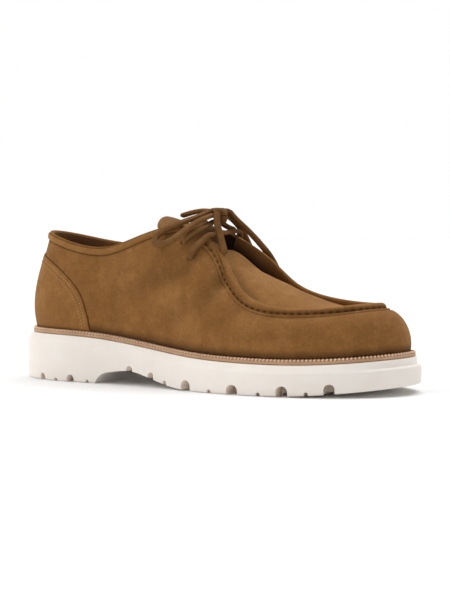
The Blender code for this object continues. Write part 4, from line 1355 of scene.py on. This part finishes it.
def make_laces():
    for name, _, _, _ in EYELETS:
        build = Mesher()
        thong(build, lace_bar_route(name))
        bar = mesh_object("lace_crossing_" + name, build, (LACE,), LACE_EDGE)
        dress(bar, "lace_leather", "lace_bar_" + name)
    knot = make_knot()
    for name, route in LACE_ROUTES.items():
        build = Mesher()
        points = (thong(build, route) - CENTRE) * MM
        piece = mesh_object(name.replace("lace", "thong"), build, (LACE,), LACE_EDGE)
        dress(piece, "lace_leather", name)


KNOT_STRANDS = (
    ((140, -6.3, 117.6), (142.6, -3.6, 119), (146.5, 0.5, 119.2), (150.6, 4.8, 118.6)),
    ((145.2, -7.7, 115.9), (145.5, -1, 114.9), (145.8, 5.9, 116.7)),
    ((139.5, 1, 118.5), (142.8, -0.8, 119.2), (145.6, -4, 119.3), (148, -6.8, 118.9), (149, -8, 118)),
)
KNOT_WIDTH, KNOT_THICK, KNOT_STEP = 5.4, 3.2, 0.9
# The turn round the knot: its middle, half width, half height and the angle of its plane
WRAP_CENTRE, WRAP_HALF_WIDTH, WRAP_HALF_HEIGHT, WRAP_ANGLE = (147.4, 0.4, 115.4), 5.4, 3.8, -45
WRAP_STEPS = 12


def make_knot():
    """The strands that run through the knot, and the turn wrapped round them."""
    build = Mesher()
    for route in KNOT_STRANDS:
        thong(build, route, KNOT_WIDTH, KNOT_THICK, KNOT_STEP)
    centre = np.array(WRAP_CENTRE)
    turn = math.radians(WRAP_ANGLE)
    level = WRAP_HALF_WIDTH * np.array([math.cos(turn), math.sin(turn), 0.0])
    angles = np.linspace(0, 2 * math.pi, WRAP_STEPS + 1)
    wrap = centre + np.outer(np.cos(angles), level) + np.outer(np.sin(angles), WRAP_HALF_HEIGHT * UP)
    thong(build, wrap, KNOT_WIDTH, KNOT_THICK, KNOT_STEP, centre)
    knot = mesh_object("thong_knot", build, (LACE,), LACE_EDGE)
    return dress(knot, "lace_leather", "lace_knot")


# The stage


CAMERA_PLACE = (0.5660, -0.9413, 0.1120)
CAMERA_AIM = (0.007, 0.006, 0.0575)
CAMERA_LENS = 96.0
FLOOR_RADIUS, FLOOR_SIDES = 8000.0, 96
FLOOR_COLOUR, FLOOR_ROUGHNESS = (0.92, 0.92, 0.92), 0.75
# Soft suns: the way to the light, strength, and width of its disk in degrees
SUNS = (("key", (-0.60, -0.40, 0.69), 1.5, 55), ("top", (0.05, 0.38, 0.92), 2.3, 50))
# The sky: white up to a height of direction, then a dimmer grey from a second height
SKY = ((0.15, (1.0, 1.0, 1.0)), (0.30, (0.25, 0.25, 0.25)))


def make_sky():
    world = bpy.data.worlds.new("studio")
    world.use_nodes = True
    tree = world.node_tree
    split = tree.nodes.new("ShaderNodeSeparateXYZ")
    tree.links.new(tree.nodes.new("ShaderNodeTexCoord").outputs["Generated"], split.inputs["Vector"])
    tree.links.new(ramp(tree, split.outputs["Z"], SKY), tree.nodes["Background"].inputs["Color"])
    bpy.context.scene.world = world


def make_stage():
    build = Mesher()
    angles = round_angles(FLOOR_SIDES)
    ring = np.column_stack([np.cos(angles), np.sin(angles), np.zeros(len(angles))])
    build.face(build.row(FLOOR_RADIUS * ring + CENTRE))
    pale, tree, shader, _ = shader_of("pale_floor", FLOOR_COLOUR, FLOOR_ROUGHNESS)
    fill(tree, shader, {"Specular IOR Level": 0.1})
    mesh_object("pale_floor", build, (pale,))

    make_sky()
    for name, way, strength, width in SUNS:
        light = bpy.data.lights.new(name, "SUN")
        light.energy = strength
        light.angle = math.radians(width)
        add_object(name, light).rotation_euler = (-Vector(way)).to_track_quat("-Z", "Y").to_euler()
    bpy.context.scene.view_settings.view_transform = "Standard"

    camera = bpy.data.cameras.new("camera")
    camera.lens = CAMERA_LENS
    eye = add_object("camera", camera)
    eye.location = CAMERA_PLACE
    eye.rotation_euler = (Vector(CAMERA_AIM) - Vector(CAMERA_PLACE)).to_track_quat("-Z", "Y").to_euler()
    bpy.context.scene.camera = eye


make_stage()
make_laces()
make_upper()
make_counter()
make_tongue()
make_insole()
make_welt()
make_outsole()
